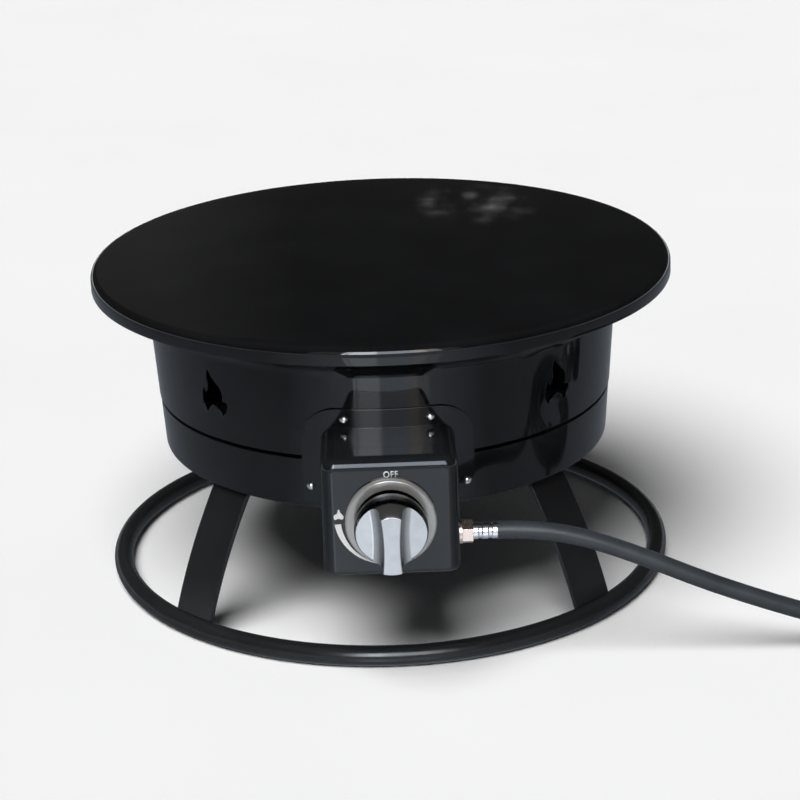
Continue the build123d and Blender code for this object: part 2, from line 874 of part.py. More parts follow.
def biarc(start, start_way, end, end_way):
    """Two arcs that leave start along start_way and reach end along end_way."""
    gap = end - start
    ways = start_way + end_way
    spread = 2 * (1 - start_way.dot(end_way))
    part = gap.dot(ways)
    if abs(spread) < 1e-9:
        reach = gap.dot(gap) / (2 * part)
    else:
        reach = (-part + math.sqrt(part**2 + spread * gap.dot(gap))) / spread
    joint = (start + end + (start_way - end_way) * reach) * 0.5
    first = TangentArc(start, joint, tangent=start_way)
    return [first, TangentArc(joint, end, tangent=first % 1)]


def wound_path(place, turns, end_ways=None):
    """Path of quarter turns through place(turn), which gives a point for a count of turns.
    end_ways sets the directions in which the path starts and ends."""
    step = 0.001
    quarters = round(turns * 4)
    spots = []
    for i in range(quarters + 1):
        at = turns * i / quarters
        low = max(at - step, 0)
        high = min(at + step, turns)
        way = (Vector(*place(high)) - Vector(*place(low))).normalized()
        spots.append((Vector(*place(at)), way))
    if end_ways:
        spots[0] = (spots[0][0], end_ways[0])
        spots[-1] = (spots[-1][0], end_ways[1])
    edges = []
    for (start, start_way), (end, end_way) in zip(spots, spots[1:]):
        edges += biarc(start, start_way, end, end_way)
    return edges


def self_gap(edges, radius, skip):
    """Least gap between stretches of a tube that lie more than skip apart along it."""
    points = []
    travelled = 0
    for edge in edges:
        count = max(2, int(edge.length / radius * 2))
        for i in range(count):
            points.append((edge @ (i / count), travelled + edge.length * i / count))
        travelled += edge.length
    least = math.inf
    for i, (a, far_a) in enumerate(points):
        for b, far_b in points[i + 1 :]:
            if far_b - far_a > skip:
                least = min(least, (a - b).length)
    return least - 2 * radius


def tube(edges, radius, name):
    """Round tube along arcs and lines, with its volume compared with section times length."""
    path = Wire(edges)
    start = Plane(edges[0] @ 0, z_dir=edges[0] % 0)
    solid = sweep(start * Circle(radius), path=path)
    ratio = solid.volume / (math.pi * radius**2 * path.length)
    print(f"{name}: length {path.length:.0f} mm, volume over section times length {ratio:.4f}")
    return solid


def return_spring():
    radius = spring_wire / 2
    front = washer_back_y + radius + touch_clearance
    back = chamber_end_y - radius - touch_clearance
    rise = (back - front) / spring_turns

    def place(turn):
        angle = 2 * math.pi * turn
        across = spring_mean_radius * math.cos(angle)
        height = control_z + spring_mean_radius * math.sin(angle)
        return (across, front + rise * turn, height)

    edges = wound_path(place, spring_turns)
    gap = self_gap(edges, radius, math.pi * spring_mean_radius)
    print(f"return_spring: least gap between turns {gap:.2f} mm")
    return tube(edges, radius, "return_spring")


def valve_plug():
    plug = turned(
        [
            (plug_front_y, 0),
            (plug_rear_y, 0),
            (plug_rear_y, plug_rear_radius),
            (plug_front_y, plug_front_radius),
        ]
    )
    plug -= rod(inlet_y, plug_rear_y, gas_port_radius)
    plug = on_control_axis(plug)
    plug -= Pos(0, inlet_y, control_z) * upright(rod(0, 2 * plug_front_radius, gas_port_radius))
    slot = Box(
        stem_tang_thickness + 2 * hole_clearance,
        2 * plug_slot_depth,
        stem_tang_width + 2 * hole_clearance,
    )
    return plug - Pos(0, plug_front_y, control_z) * slot


def valve_body():
    barrel = chamber_radius + valve_wall
    waist = plug_front_radius + valve_wall
    body = turned(
        [
            (bonnet_back_y, 0),
            (valve_rear_y, 0),
            (valve_rear_y, waist - valve_wall / 2),
            (plug_rear_y, waist),
            (chamber_end_y + valve_wall, waist),
            (chamber_end_y + valve_wall / 2, barrel),
            (bonnet_back_y, barrel),
        ]
    )
    body = on_control_axis(body)
    boss_foot = control_z - inlet_boss_drop
    body += Pos(0, inlet_y, 0) * upright(rod(boss_foot, control_z, inlet_pipe_radius))
    room = rod(bonnet_back_y, chamber_end_y, chamber_radius)
    room += turned(
        [
            (chamber_end_y, 0),
            (plug_rear_y + running_clearance, 0),
            (plug_rear_y + running_clearance, plug_rear_radius + running_clearance),
            (chamber_end_y, plug_front_radius + running_clearance),
        ]
    )
    room += rod(plug_rear_y, valve_rear_y, gas_port_radius)
    room += rod(valve_rear_y - jet_stud_length, valve_rear_y, jet_stud_radius + touch_clearance)
    body -= on_control_axis(room)
    body -= Pos(0, inlet_y, 0) * upright(rod(boss_foot, control_z - plug_rear_radius, gas_port_radius))
    for spot in bonnet_screw_places():
        hole = rod(bonnet_back_y, bonnet_back_y + bonnet_thickness, small_screw_radius + touch_clearance)
        body -= Pos(*spot) * on_control_axis(hole)
    return body


def bonnet_screw_places():
    """The bonnet's own screws, above and below the stem, in the wall of the valve body."""
    reach = chamber_radius + valve_wall / 2
    return [(0, 0, reach), (0, 0, -reach)]


def valve_bonnet():
    plate = Circle(bonnet_radius)
    for side in (-1, 1):
        plate += Pos(side * bonnet_ear_offset, 0) * Circle(bonnet_ear_radius)
        plate += Pos(side * bonnet_ear_offset / 2, 0) * Rectangle(bonnet_ear_offset, 2 * bonnet_ear_radius)
    plate -= Circle(stem_radius + running_clearance)
    for side in (-1, 1):
        plate -= Pos(side * bonnet_ear_offset, 0) * Circle(small_screw_radius + touch_clearance)
    bonnet = Pos(0, bonnet_back_y, control_z) * extrude(Plane.XZ * plate, amount=bonnet_thickness)
    for spot in bonnet_screw_places():
        shank = rod(panel_back_y, bonnet_back_y, small_screw_radius + touch_clearance)
        head_depth = small_screw_head_height + touch_clearance
        sink = rod(panel_back_y, panel_back_y + head_depth, small_screw_head_radius + touch_clearance)
        bonnet -= Pos(*spot) * on_control_axis(shank + sink)
    return bonnet


def bonnet_screws():
    head_back = panel_back_y + small_screw_head_height + touch_clearance
    screw = rod(head_back - small_screw_head_height, head_back, small_screw_head_radius)
    screw += rod(head_back, bonnet_back_y + bonnet_thickness - touch_clearance, small_screw_radius)
    return Compound([Pos(*spot) * on_control_axis(screw) for spot in bonnet_screw_places()])


def valve_screws():
    """Screws through the panel into the bonnet's ears, under the knob."""
    screw = rod(panel_y - small_screw_head_height, panel_y, small_screw_head_radius)
    screw += rod(panel_y, bonnet_back_y, small_screw_radius)
    screw = on_control_axis(screw)
    return Compound([Pos(side * bonnet_ear_offset, 0, 0) * screw for side in (-1, 1)])


inlet_shank_x = box_half_width - inlet_shank_inside


def inlet_elbow():
    boss_foot = control_z - inlet_boss_drop
    elbow = rod(0, inlet_shank_x, inlet_pipe_radius) + Sphere(inlet_pipe_radius)
    elbow = Pos(0, inlet_y, inlet_z) * elbow
    elbow += Pos(0, inlet_y, 0) * upright(rod(inlet_z, boss_foot, inlet_pipe_radius))
    elbow -= Pos(0, inlet_y, inlet_z) * rod(0, inlet_shank_x, inlet_bore_radius)
    return elbow - Pos(0, inlet_y, 0) * upright(rod(inlet_z, boss_foot, inlet_bore_radius))


def inlet_fitting():
    hex_x = box_half_width + inlet_collar_thickness
    fitting = rod(inlet_shank_x, box_half_width, inlet_shank_radius)
    fitting += rod(box_half_width, hex_x, inlet_collar_radius)
    fitting += hexagon(hex_x, ferrule_x, inlet_hex_width)
    fitting -= rod(inlet_shank_x, ferrule_x, inlet_bore_radius)
    return Pos(0, inlet_y, inlet_z) * fitting


def inlet_locknut():
    end = box_half_width - sheet
    nut = hexagon(end - locknut_height, end, inlet_hex_width, inlet_shank_radius + touch_clearance)
    return Pos(0, inlet_y, inlet_z) * nut


def crimp_sleeve(start, end):
    """Crimped sleeve along X with two rolled grooves."""
    low = ferrule_radius - ferrule_groove_depth
    part = (end - start) / 10
    return turned(
        [
            (start, inlet_bore_radius),
            (end, inlet_bore_radius),
            (end, ferrule_radius),
            (start + 8 * part, ferrule_radius),
            (start + 7.5 * part, low),
            (start + 6.5 * part, low),
            (start + 6 * part, ferrule_radius),
            (start + 4 * part, ferrule_radius),
            (start + 3.5 * part, low),
            (start + 2.5 * part, low),
            (start + 2 * part, ferrule_radius),
            (start, ferrule_radius),
        ]
    )


def hose_ferrule():
    return Pos(0, inlet_y, inlet_z) * crimp_sleeve(ferrule_x, hose_x)


tube_mouth_y = -outer_radius(control_z) - mixing_tube_outside
tube_end_y = -burner_radius - burner_tube_radius + mixing_tube_entry


def gas_jet():
    nose_y = valve_rear_y + jet_hex_length
    tip_y = nose_y + jet_nose_length
    jet = hexagon(valve_rear_y, nose_y, jet_hex_width)
    jet += rod(valve_rear_y - jet_stud_length, valve_rear_y, jet_stud_radius)
    jet += rod(nose_y, tip_y, jet_nose_radius)
    jet -= rod(valve_rear_y - jet_stud_length, nose_y, gas_port_radius)
    jet -= rod(nose_y, tip_y, jet_hole_radius)
    return on_control_axis(jet)


def air_windows(length_extra):
    """Cutter for the two air windows of the mixing tube and its shutter."""
    middle = tube_mouth_y + shutter_length / 2
    return Pos(0, middle, control_z) * Box(
        4 * mixing_tube_radius, air_window_length + length_extra, air_window_width
    )


def mixing_tube():
    pipe = rod(tube_mouth_y, tube_end_y, mixing_tube_radius, mixing_tube_radius - mixing_tube_wall)
    return on_control_axis(pipe) - air_windows(0)


def air_shutter():
    bore = mixing_tube_radius + touch_clearance
    sleeve = rod(tube_mouth_y, tube_mouth_y + shutter_length, bore + shutter_wall, bore)
    return on_control_axis(sleeve) - air_windows(-air_window_length / 3)


def burner_ring():
    """Bent tube whose two ends meet in the tee that takes the mixing tube."""

    def bent(radius):
        section = Plane.XZ * Pos(burner_radius, control_z) * Circle(radius)
        turned_bar = revolve(section, axis=Axis.Z, revolution_arc=360 - burner_joint_gap)
        return Rot(0, 0, -90 + burner_joint_gap / 2) * turned_bar

    bore = mixing_tube_radius + touch_clearance
    outside = burner_radius + burner_tube_radius + burner_tee_overlap
    inside = burner_radius - burner_tube_radius
    ring = bent(burner_tube_radius)
    ring += on_control_axis(rod(-outside, -inside + burner_tee_wall, bore + burner_tee_wall))
    ring -= bent(burner_tube_radius - burner_tube_wall)
    ring -= on_control_axis(rod(-outside, -inside, bore))
    step = (360 - 3 * burner_joint_gap) / (burner_port_count - 1)
    angles = [-90 + 1.5 * burner_joint_gap + step * i for i in range(burner_port_count)]
    for x, y in round_places(angles, burner_radius):
        ring -= Pos(x, y, control_z) * upright(rod(0, 2 * burner_tube_radius, burner_port_radius))
    return ring


def burner_brackets():
    foot_end = bracket_inner + bracket_thickness + bracket_foot
    outline = polygon(
        [
            (bracket_inner, floor_top_z),
            (foot_end, floor_top_z),
            (foot_end, floor_top_z + bracket_thickness),
            (bracket_inner + bracket_thickness, floor_top_z + bracket_thickness),
            (bracket_inner + bracket_thickness, control_z),
            (bracket_inner, control_z),
        ]
    )
    bracket = extrude(Plane.XZ * outline, amount=bracket_width / 2, both=True)
    bracket -= Pos(0, 0, control_z) * Torus(burner_radius, burner_tube_radius + touch_clearance)
    spot = bracket_inner + bracket_thickness + bracket_foot / 2
    hole = rod(floor_z, floor_top_z + 2 * bracket_thickness, burner_screw_radius + hole_clearance)
    bracket -= Pos(spot, 0, 0) * upright(hole)
    return Compound([Rot(0, 0, angle) * bracket for angle in bracket_angles])


def burner_screws():
    seat = floor_top_z + bracket_thickness
    screw = rod(seat, seat + burner_screw_head_height, burner_screw_head_radius)
    screw += rod(floor_z - burner_nut_height - sheet, seat, burner_screw_radius)
    return Compound([Pos(x, y, 0) * upright(screw) for x, y in burner_bolt_places()])


def burner_nuts():
    nut = hexagon(
        floor_z - burner_nut_height, floor_z, burner_nut_width, burner_screw_radius + touch_clearance
    )
    return Compound([Pos(x, y, 0) * upright(nut) for x, y in burner_bolt_places()])


def rock(radius, height, dice):
    """Broken lump with flat facets, inside a prism of the given radius and height."""
    lump = extrude(RegularPolygon(radius, rock_sides), amount=height)
    lump = Rot(0, 0, dice.uniform(0, 360 / rock_sides)) * lump
    middle = Vector(0, 0, height / 2)

    def facet(angle, lean, depth):
        turn = math.radians(angle)
        rise = math.radians(lean)
        out = Vector(math.cos(turn) * math.cos(rise), math.sin(turn) * math.cos(rise), math.sin(rise))
        return split(lump, bisect_by=Plane(middle + out * depth, z_dir=out), keep=Keep.BOTTOM)

    for i in range(rock_side_cuts):
        spread = 360 / rock_side_cuts
        angle = spread * (i + dice.uniform(-0.23, 0.23))
        lean = dice.uniform(-rock_side_lean, rock_side_lean)
        lump = facet(angle, lean, radius * dice.uniform(*rock_side_depth))
    for i in range(rock_top_cuts):
        spread = 360 / rock_top_cuts
        angle = spread * (i + dice.uniform(-0.28, 0.28))
        lean = dice.uniform(*rock_top_lean)
        lump = facet(angle, lean, height / 2 + radius * dice.uniform(*rock_top_depth))
    return lump


def lava_rocks():
    dice = random.Random(rock_seed)
    blocked = [(x, y, leg_bolt_head_width * 0.6) for x, y in leg_bolt_places()]
    foot_half = math.hypot(bracket_foot / 2 + bracket_thickness, bracket_width / 2)
    blocked += [(x, y, foot_half) for x, y in burner_bolt_places()]
    for plane, upper in screw_planes():
        if not upper:
            tail = plane.origin - plane.z_dir * screw_length
            blocked.append((tail.X, tail.Y, screw_length))
    tee_radius = mixing_tube_radius + touch_clearance + burner_tee_wall
    pipe = tee_radius + rock_gap
    wall = outer_radius(floor_top_z) - sheet - bowl_corner_radius
    burner_in = burner_radius - burner_tube_radius - rock_gap
    burner_out = burner_radius + burner_tube_radius + rock_gap

    def clear(x, y, radius):
        if abs(x) < radius + pipe and y < -burner_in + radius:
            return False
        return all(math.hypot(x - bx, y - by) > radius + size + rock_gap for bx, by, size in blocked)

    def ring_of(reach):
        """Places of one ring of the lower layer, side by side."""
        count = max(1, int(math.pi / math.asin(min(1, (rock_radius + rock_gap / 2) / reach))))
        spin = dice.uniform(0, 360)
        places = round_places([spin + 360 / count * i for i in range(count)], reach)
        return [spot for spot in places if clear(*spot, rock_radius)]

    step = 2 * rock_radius + rock_gap
    rock_height = control_z + tee_radius + rock_gap / 4 - floor_top_z
    lower = []
    rocks = []
    outer_rings = int((wall - burner_out + rock_gap) / step)
    inner_rings = int((burner_in + rock_radius) / step)
    reaches = [wall - rock_radius - i * step for i in range(outer_rings)]
    reaches += [burner_in - rock_radius - i * step for i in range(inner_rings)]
    for reach in reaches:
        ring = ring_of(reach)
        lower += ring
        rocks += [Pos(x, y, floor_top_z) * rock(rock_radius, rock_height, dice) for x, y in ring]

    # Each rock of the top layer lies on one rock of the lower layer and leans over a neighbour
    furthest = collar_radius(seam_z) - sheet - rock_gap - top_rock_radius
    upper = []
    for ax, ay in lower:
        for bx, by in lower:
            if not 0 < math.dist((ax, ay), (bx, by)) < 2 * step:
                continue
            x = ax + (bx - ax) * top_rock_lean
            y = ay + (by - ay) * top_rock_lean
            pull = min(1, furthest / math.hypot(x, y))
            spot = (x * pull, y * pull)
            if all(math.dist(spot, other) > 2 * top_rock_radius + rock_gap for other in upper):
                upper.append(spot)
    top = floor_top_z + rock_height + rock_gap / 4
    rocks += [Pos(x, y, top) * rock(top_rock_radius, top_rock_height, dice) for x, y in upper]
    return Compound(rocks)


coil_low_z = hose_radius + coil_lift
coil_high_z = coil_low_z + coil_pitch
coil_centre_y = inlet_y + coil_outer_radius


def coil_place(turn):
    """Point of the coil: in to the middle on the floor, up a layer in half a turn, and out again on top."""
    middle = coil_turns / 2
    away = turn - middle
    eased = abs(away) if abs(away) > 0.25 else away**2 * 2 + 0.125
    radius = coil_outer_radius - coil_pitch * (middle - eased)
    lift = min(max(away / 0.5 + 0.5, 0), 1)
    height = coil_low_z + coil_pitch * lift**2 * (3 - 2 * lift)
    angle = 2 * math.pi * turn - math.pi / 2
    return (
        coil_centre_x + radius * math.cos(angle),
        coil_centre_y + radius * math.sin(angle),
        height,
    )


def coil_way(turn):
    """Direction square to the coil's radius, in which its ends run."""
    angle = 2 * math.pi * turn
    return Vector(math.cos(angle), math.sin(angle), 0)


def hose_coil():
    tail_way = coil_way(coil_turns)
    edges = wound_path(coil_place, coil_turns, (coil_way(0), tail_way))
    tail = edges[-1] @ 1
    edges.append(Line(tail, tail + tail_way * hose_tail_length))
    gap = self_gap(edges, hose_radius, 4 * hose_radius)
    print(f"hose_coil: least gap between turns {gap:.2f} mm")
    return tube(edges, hose_radius, "hose_coil"), edges[-1] @ 1, tail_way


def hose_lead():
    start = Vector(hose_x, inlet_y, inlet_z)
    coil_start = Vector(*coil_place(0))
    points = [start, start + Vector(hose_exit_run, 0, 0)]
    points += [Vector(*spot) for spot in hose_route]
    points += [coil_start - coil_way(0) * hose_coil_run, coil_start]
    radii = []
    for before, here, after in zip(points, points[1:], points[2:]):
        turn = (here - before).get_angle(after - here)
        run = min((here - before).length, (after - here).length)
        radii.append(0.45 * run / math.tan(math.radians(turn / 2)))
    print("hose_lead bend radii:", ", ".join(f"{radius:.0f}" for radius in radii))
    path = FilletPolyline(*points, radius=radii)
    return tube(path.edges(), hose_radius, "hose_lead")


def hose_tie():
    """Strap wound once round the bundle of turns."""
    inner = coil_place(coil_turns / 2)
    least = math.hypot(inner[0] - coil_centre_x, inner[1] - coil_centre_y)
    reach = (coil_outer_radius + least) / 2
    half = (coil_outer_radius - least) / 2 + hose_radius + tie_clearance
    low = coil_low_z - hose_radius - tie_clearance
    high = coil_high_z + hose_radius + tie_clearance
    room = Rectangle(2 * half, high - low)
    outer = Rectangle(2 * (half + tie_thickness), high - low + 2 * tie_thickness)
    corner = hose_radius
    band = fillet(outer.vertices(), corner + tie_thickness) - fillet(room.vertices(), corner)
    strap = extrude(Plane.XZ * band, amount=tie_width / 2, both=True)
    strap = Pos(reach, 0, (low + high) / 2) * strap
    return Pos(coil_centre_x, coil_centre_y, 0) * Rot(0, 0, tie_angle) * strap


def regulator_pieces(tail, way):
    """The hose's far end along its last line: ferrule, regulator and cylinder connection."""
    turn = math.degrees(math.atan2(way.Y, way.X))
    place = Pos(tail.X, tail.Y, 0) * Rot(0, 0, turn)
    axis = Pos(0, 0, tail.Z)
    centre = ferrule_length + outlet_boss_length + regulator_radius
    inlet_end = centre + regulator_radius + inlet_boss_length
    wall = regulator_wall

    cup = turned_z(
        polygon(
            [
                (0, 0),
                (regulator_radius - wall, 0),
                (regulator_radius, wall),
                (regulator_radius, regulator_body_height - regulator_flange_height),
                (regulator_radius + regulator_flange, regulator_body_height - regulator_flange_height),
                (regulator_radius + regulator_flange, regulator_body_height),
                (regulator_radius - wall, regulator_body_height),
                (regulator_radius - wall, wall),
                (0, wall),
            ]
        )
    )
    body = Pos(centre, 0, 0) * cup
    bosses = rod(ferrule_length, centre - regulator_radius + wall, outlet_boss_radius)
    bosses += rod(centre + regulator_radius - wall, inlet_end, inlet_boss_radius)
    body += axis * bosses
    body -= axis * rod(ferrule_length, centre, inlet_bore_radius)
    body -= axis * rod(centre, inlet_end, inlet_bore_radius)
    spare = regulator_radius + 3 * regulator_flange
    top = regulator_body_height
    body -= Pos(centre, 0, top) * upright(rod(0, spare, spare))

    crown = regulator_cover_height
    shell = turned_z(
        polygon(
            [
                (0, crown),
                (regulator_radius * 0.45, crown),
                (regulator_radius * 0.6, crown * 0.55),
                (regulator_radius, crown * 0.35),
                (regulator_radius, regulator_flange_height),
                (regulator_radius + regulator_flange, regulator_flange_height),
                (regulator_radius + regulator_flange, 0),
                (regulator_radius - wall, 0),
                (regulator_radius - wall, crown * 0.35 - wall / 2),
                (regulator_radius * 0.6 - wall, crown * 0.55 - wall / 2),
                (regulator_radius * 0.45 - wall, crown - wall),
                (0, crown - wall),
            ]
        )
    )
    cover = Pos(centre, 0, top) * shell
    angles = [360 / regulator_screw_count * (i + 0.5) for i in range(regulator_screw_count)]
    spots = [(centre + x, y) for x, y in round_places(angles, regulator_radius + regulator_flange / 2)]
    under = top - regulator_flange_height
    over = top + regulator_flange_height
    hole = rod(under, over, regulator_screw_radius + touch_clearance)
    screw = rod(over, over + regulator_screw_head_height, regulator_screw_head_radius)
    screw += rod(under, over, regulator_screw_radius)
    for x, y in spots:
        body -= Pos(x, y, 0) * upright(hole)
        cover -= Pos(x, y, 0) * upright(hole)
    screws = Compound([place * Pos(x, y, 0) * upright(screw) for x, y in spots])
    vent = rod(top + crown, top + crown + vent_height, vent_radius)
    vent -= rod(top + crown + vent_height / 2, top + crown + vent_height, vent_radius / 3)

    nipple = rod(inlet_end, inlet_end + nipple_length, nipple_radius, nipple_bore_radius)
    collar = inlet_end + nipple_collar_from_boss
    nipple += rod(collar, collar + nipple_collar_length, nipple_collar_radius, nipple_bore_radius)
    seal_at = inlet_end + nipple_length - seal_from_tip
    groove = nipple_radius - seal_wire
    nipple -= rod(
        seal_at - seal_wire / 2 - touch_clearance,
        seal_at + seal_wire / 2 + touch_clearance,
        2 * nipple_radius,
        groove,
    )
    seal_circle = groove + seal_wire / 2
    seal = Pos(seal_at, 0, 0) * Rot(0, 90, 0) * Torus(seal_circle, seal_wire / 2)

    nut_start = inlet_end + nut_from_boss
    nut_end = nut_start + nut_length
    nut = rod(nut_start, nut_end, nut_radius)
    nut -= rod(collar - seat_clearance, nut_end, nut_bore_radius)
    nut -= rod(nut_start, collar, nipple_radius + running_clearance)
    for i in range(nut_grip_count):
        groove_rod = Pos(0, nut_radius + nut_grip_radius / 2, 0) * rod(nut_start, nut_end, nut_grip_radius)
        nut -= Rot(360 / nut_grip_count * i, 0, 0) * groove_rod

    return {
        "end_ferrule": place * axis * crimp_sleeve(0, ferrule_length),
        "regulator_body": place * body,
        "regulator_cover": place * cover,
        "regulator_screws": screws,
        "vent_cap": place * Pos(centre, 0, 0) * upright(vent),
        "tank_nipple": place * axis * nipple,
        "nipple_seal": place * axis * seal,
        "tank_nut": place * axis * nut,
    }


def all_pieces():
    coil, tail, way = hose_coil()
    pieces = {
        "lid": lid(),
        "upper_wall": upper_wall(),
        "lower_bowl": lower_bowl(),
        "base_ring": base_ring(),
        "leg_bolts": leg_bolts(),
        "leg_nuts": leg_nuts(),
        "control_box": control_box(),
        "panel_screws": panel_screws(),
        "control_bezel": control_bezel(),
        "knob_shell": knob_shell(),
        "knob_hub": knob_hub(),
        "knob_clip": knob_clip(),
        "valve_stem": valve_stem(),
        "thrust_washer": thrust_washer(),
        "return_spring": return_spring(),
        "valve_plug": valve_plug(),
        "valve_body": valve_body(),
        "valve_bonnet": valve_bonnet(),
        "bonnet_screws": bonnet_screws(),
        "valve_screws": valve_screws(),
        "inlet_elbow": inlet_elbow(),
        "inlet_fitting": inlet_fitting(),
        "inlet_locknut": inlet_locknut(),
        "hose_ferrule": hose_ferrule(),
        "gas_jet": gas_jet(),
        "mixing_tube": mixing_tube(),
        "air_shutter": air_shutter(),
        "burner_ring": burner_ring(),
        "burner_brackets": burner_brackets(),
        "burner_screws": burner_screws(),
        "burner_nuts": burner_nuts(),
        "lava_rocks": lava_rocks(),
        "hose_lead": hose_lead(),
        "hose_coil": coil,
        "hose_tie": hose_tie(),
    }
    for corner, angle in leg_angles.items():
        pieces[f"leg_{corner}"] = leg(angle)
    pieces.update(regulator_pieces(tail, way))
    return pieces


os.makedirs("parts", exist_ok=True)
for name, piece in all_pieces().items():
    export_step(piece, f"parts/{name}.step")
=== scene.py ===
import math

import bmesh
import bpy
from mathutils import Matrix, Vector, noise
from mathutils.bvhtree import BVHTree


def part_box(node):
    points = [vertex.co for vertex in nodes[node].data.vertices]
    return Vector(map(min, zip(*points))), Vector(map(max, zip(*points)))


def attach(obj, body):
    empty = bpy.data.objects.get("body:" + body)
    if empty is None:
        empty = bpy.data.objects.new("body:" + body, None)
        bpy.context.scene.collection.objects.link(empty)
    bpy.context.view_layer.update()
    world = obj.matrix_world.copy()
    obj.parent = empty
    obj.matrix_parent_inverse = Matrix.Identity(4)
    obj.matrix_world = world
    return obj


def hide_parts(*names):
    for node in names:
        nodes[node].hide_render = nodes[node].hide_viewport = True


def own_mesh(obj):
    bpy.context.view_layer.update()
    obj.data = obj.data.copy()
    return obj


# Portable propane fire pit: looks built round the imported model. Metres, +Z up, front along -Y.

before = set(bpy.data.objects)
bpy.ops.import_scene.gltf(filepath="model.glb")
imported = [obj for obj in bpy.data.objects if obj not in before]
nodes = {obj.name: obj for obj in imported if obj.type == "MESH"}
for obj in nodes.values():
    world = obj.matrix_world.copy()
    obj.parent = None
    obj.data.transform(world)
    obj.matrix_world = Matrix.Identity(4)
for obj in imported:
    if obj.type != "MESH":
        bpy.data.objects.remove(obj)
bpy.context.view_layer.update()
scene = bpy.context.scene
scene.view_settings.view_transform = "Standard"
print("frame: loaded", len(nodes), "nodes")


# Node helpers

def startFinish(name):
    material = bpy.data.materials.new(name)
    material.use_nodes = True
    tree = material.node_tree
    return material, tree, tree.nodes["Principled BSDF"]


def addNode(tree, kind, inputs=None, **options):
    node = tree.nodes.new("ShaderNode" + kind)
    for key, value in options.items():
        setattr(node, key, value)
    for socket, value in (inputs or {}).items():
        if isinstance(value, bpy.types.NodeSocket):
            tree.links.new(value, node.inputs[socket])
        else:
            node.inputs[socket].default_value = value
    return node


def join(tree, shader, **links):
    for socket, value in links.items():
        tree.links.new(value, shader.inputs[socket.replace("_", " ")])


def workOut(tree, operation, *values):
    return addNode(tree, "Math", dict(enumerate(values)), operation=operation).outputs["Value"]


def workOutVector(tree, operation, inputs, result="Vector"):
    return addNode(tree, "VectorMath", inputs, operation=operation).outputs[result]


def mix(tree, share, first, second):
    inputs = {"Factor": share, 6: first, 7: second}     # 6 and 7 are the colour sockets
    return addNode(tree, "Mix", inputs, data_type="RGBA").outputs[2]


def ownPlace(tree, stretch=None):
    place = addNode(tree, "TexCoord").outputs["Object"]
    if stretch is None:
        return place
    return addNode(tree, "Mapping", {"Vector": place, "Scale": stretch}).outputs["Vector"]


def axesOf(tree, vector):
    return addNode(tree, "SeparateXYZ", {"Vector": vector}).outputs


def grainAt(tree, place, scale, detail=2.0, roughness=0.5):
    settings = {"Vector": place, "Scale": scale, "Detail": detail, "Roughness": roughness}
    return addNode(tree, "TexNoise", settings).outputs["Fac"]


def cellsAt(tree, place, scale):
    return addNode(tree, "TexVoronoi", {"Vector": place, "Scale": scale}).outputs["Distance"]


def wavesAt(tree, place, way, scale, distortion):
    settings = {"Vector": place, "Scale": scale, "Distortion": distortion}
    return addNode(tree, "TexWave", settings, bands_direction=way).outputs["Fac"]


def spread(tree, value, low, high, fromLow=0.3, fromHigh=0.7):
    settings = {"Value": value, "From Min": fromLow, "From Max": fromHigh, "To Min": low, "To Max": high}
    return addNode(tree, "MapRange", settings).outputs["Result"]


def inBand(tree, value, low, high):
    over = workOut(tree, "GREATER_THAN", value, low)
    under = workOut(tree, "LESS_THAN", value, high)
    return workOut(tree, "MULTIPLY", over, under)


def tint(tree, value, stops, stepped=False):
    ramp = addNode(tree, "ValToRGB", {"Fac": value})
    if stepped:
        ramp.color_ramp.interpolation = "CONSTANT"
    marks = ramp.color_ramp.elements
    while len(marks) < len(stops):
        marks.new(0.5)      # each mark gets its place below
    for mark, (at, colour) in zip(marks, stops):
        mark.position = at
        mark.color = (*colour, 1)
    return ramp.outputs["Color"]


def relief(tree, height, depth, normal=None):
    settings = {"Height": height, "Distance": depth, "Strength": 1.0}
    if normal is not None:
        settings["Normal"] = normal
    return addNode(tree, "Bump", settings).outputs["Normal"]


def softEdge(tree, radius, samples=6):
    return addNode(tree, "Bevel", {"Radius": radius}, samples=samples).outputs["Normal"]


def paint(tree, shader, place, plan):
    colour = tint(tree, grainAt(tree, place, *plan["cloud"]), plan["stops"])
    smear = spread(tree, grainAt(tree, place, *plan["smear"]), *plan["gloss"])
    join(tree, shader, Base_Color=colour, Roughness=smear)


# Finishes: a grain is its scale per metre, detail and roughness, and gloss is a range of roughness

enamelPlan = {
    "cloud": (17.0, 4.0),
    "cloudSpan": (0.35, 0.72),
    "smear": (55.0, 5.0, 0.65),
    "edge": 0.0007,
    "wave": (7.0, 1.0),             # slow waviness of the pressed sheet
    "waveDepth": 0.00016,
    "peel": (620.0, 1.0),           # orange peel in the sprayed coat
    "peelDepth": 0.0000025,
    "groove": (0.1545, 0.1580),     # heights of the gap between the two shells, darkened there as painted shade
    # painted shade: near-black colour for the shaded gap
    "grooveShade": (0.0008, 0.0008, 0.0008, 1),
    "lean": (0, 0, 1),              # the gap leans up, in under the upper shell
}

enamels = {
    "drumEnamel": {"dark": (0.0050, 0.0054, 0.0062), "pale": (0.0085, 0.0091, 0.0102),
                   "gloss": (0.035, 0.075)},
    "bowlEnamel": {"dark": (0.0050, 0.0054, 0.0062), "pale": (0.0085, 0.0091, 0.0102),
                   "gloss": (0.05, 0.10), "grooved": True},
    # painted shade: the lid's copy is darker than the drum's, which holds down its sunlit top
    "lidEnamel": {"dark": (0.0042, 0.0044, 0.0049), "pale": (0.0064, 0.0067, 0.0074),
                  "gloss": (0.035, 0.075)},
    "boxEnamel": {"dark": (0.0070, 0.0082, 0.0094), "pale": (0.0110, 0.0126, 0.0144),
                  "gloss": (0.06, 0.11)},
    # painted light: the stand's copy is paler to lift it out of shade; its rougher gloss is the satin finish
    "standEnamel": {"dark": (0.0130, 0.0134, 0.0144), "pale": (0.0180, 0.0186, 0.0200),
                    "gloss": (0.16, 0.26)},
}


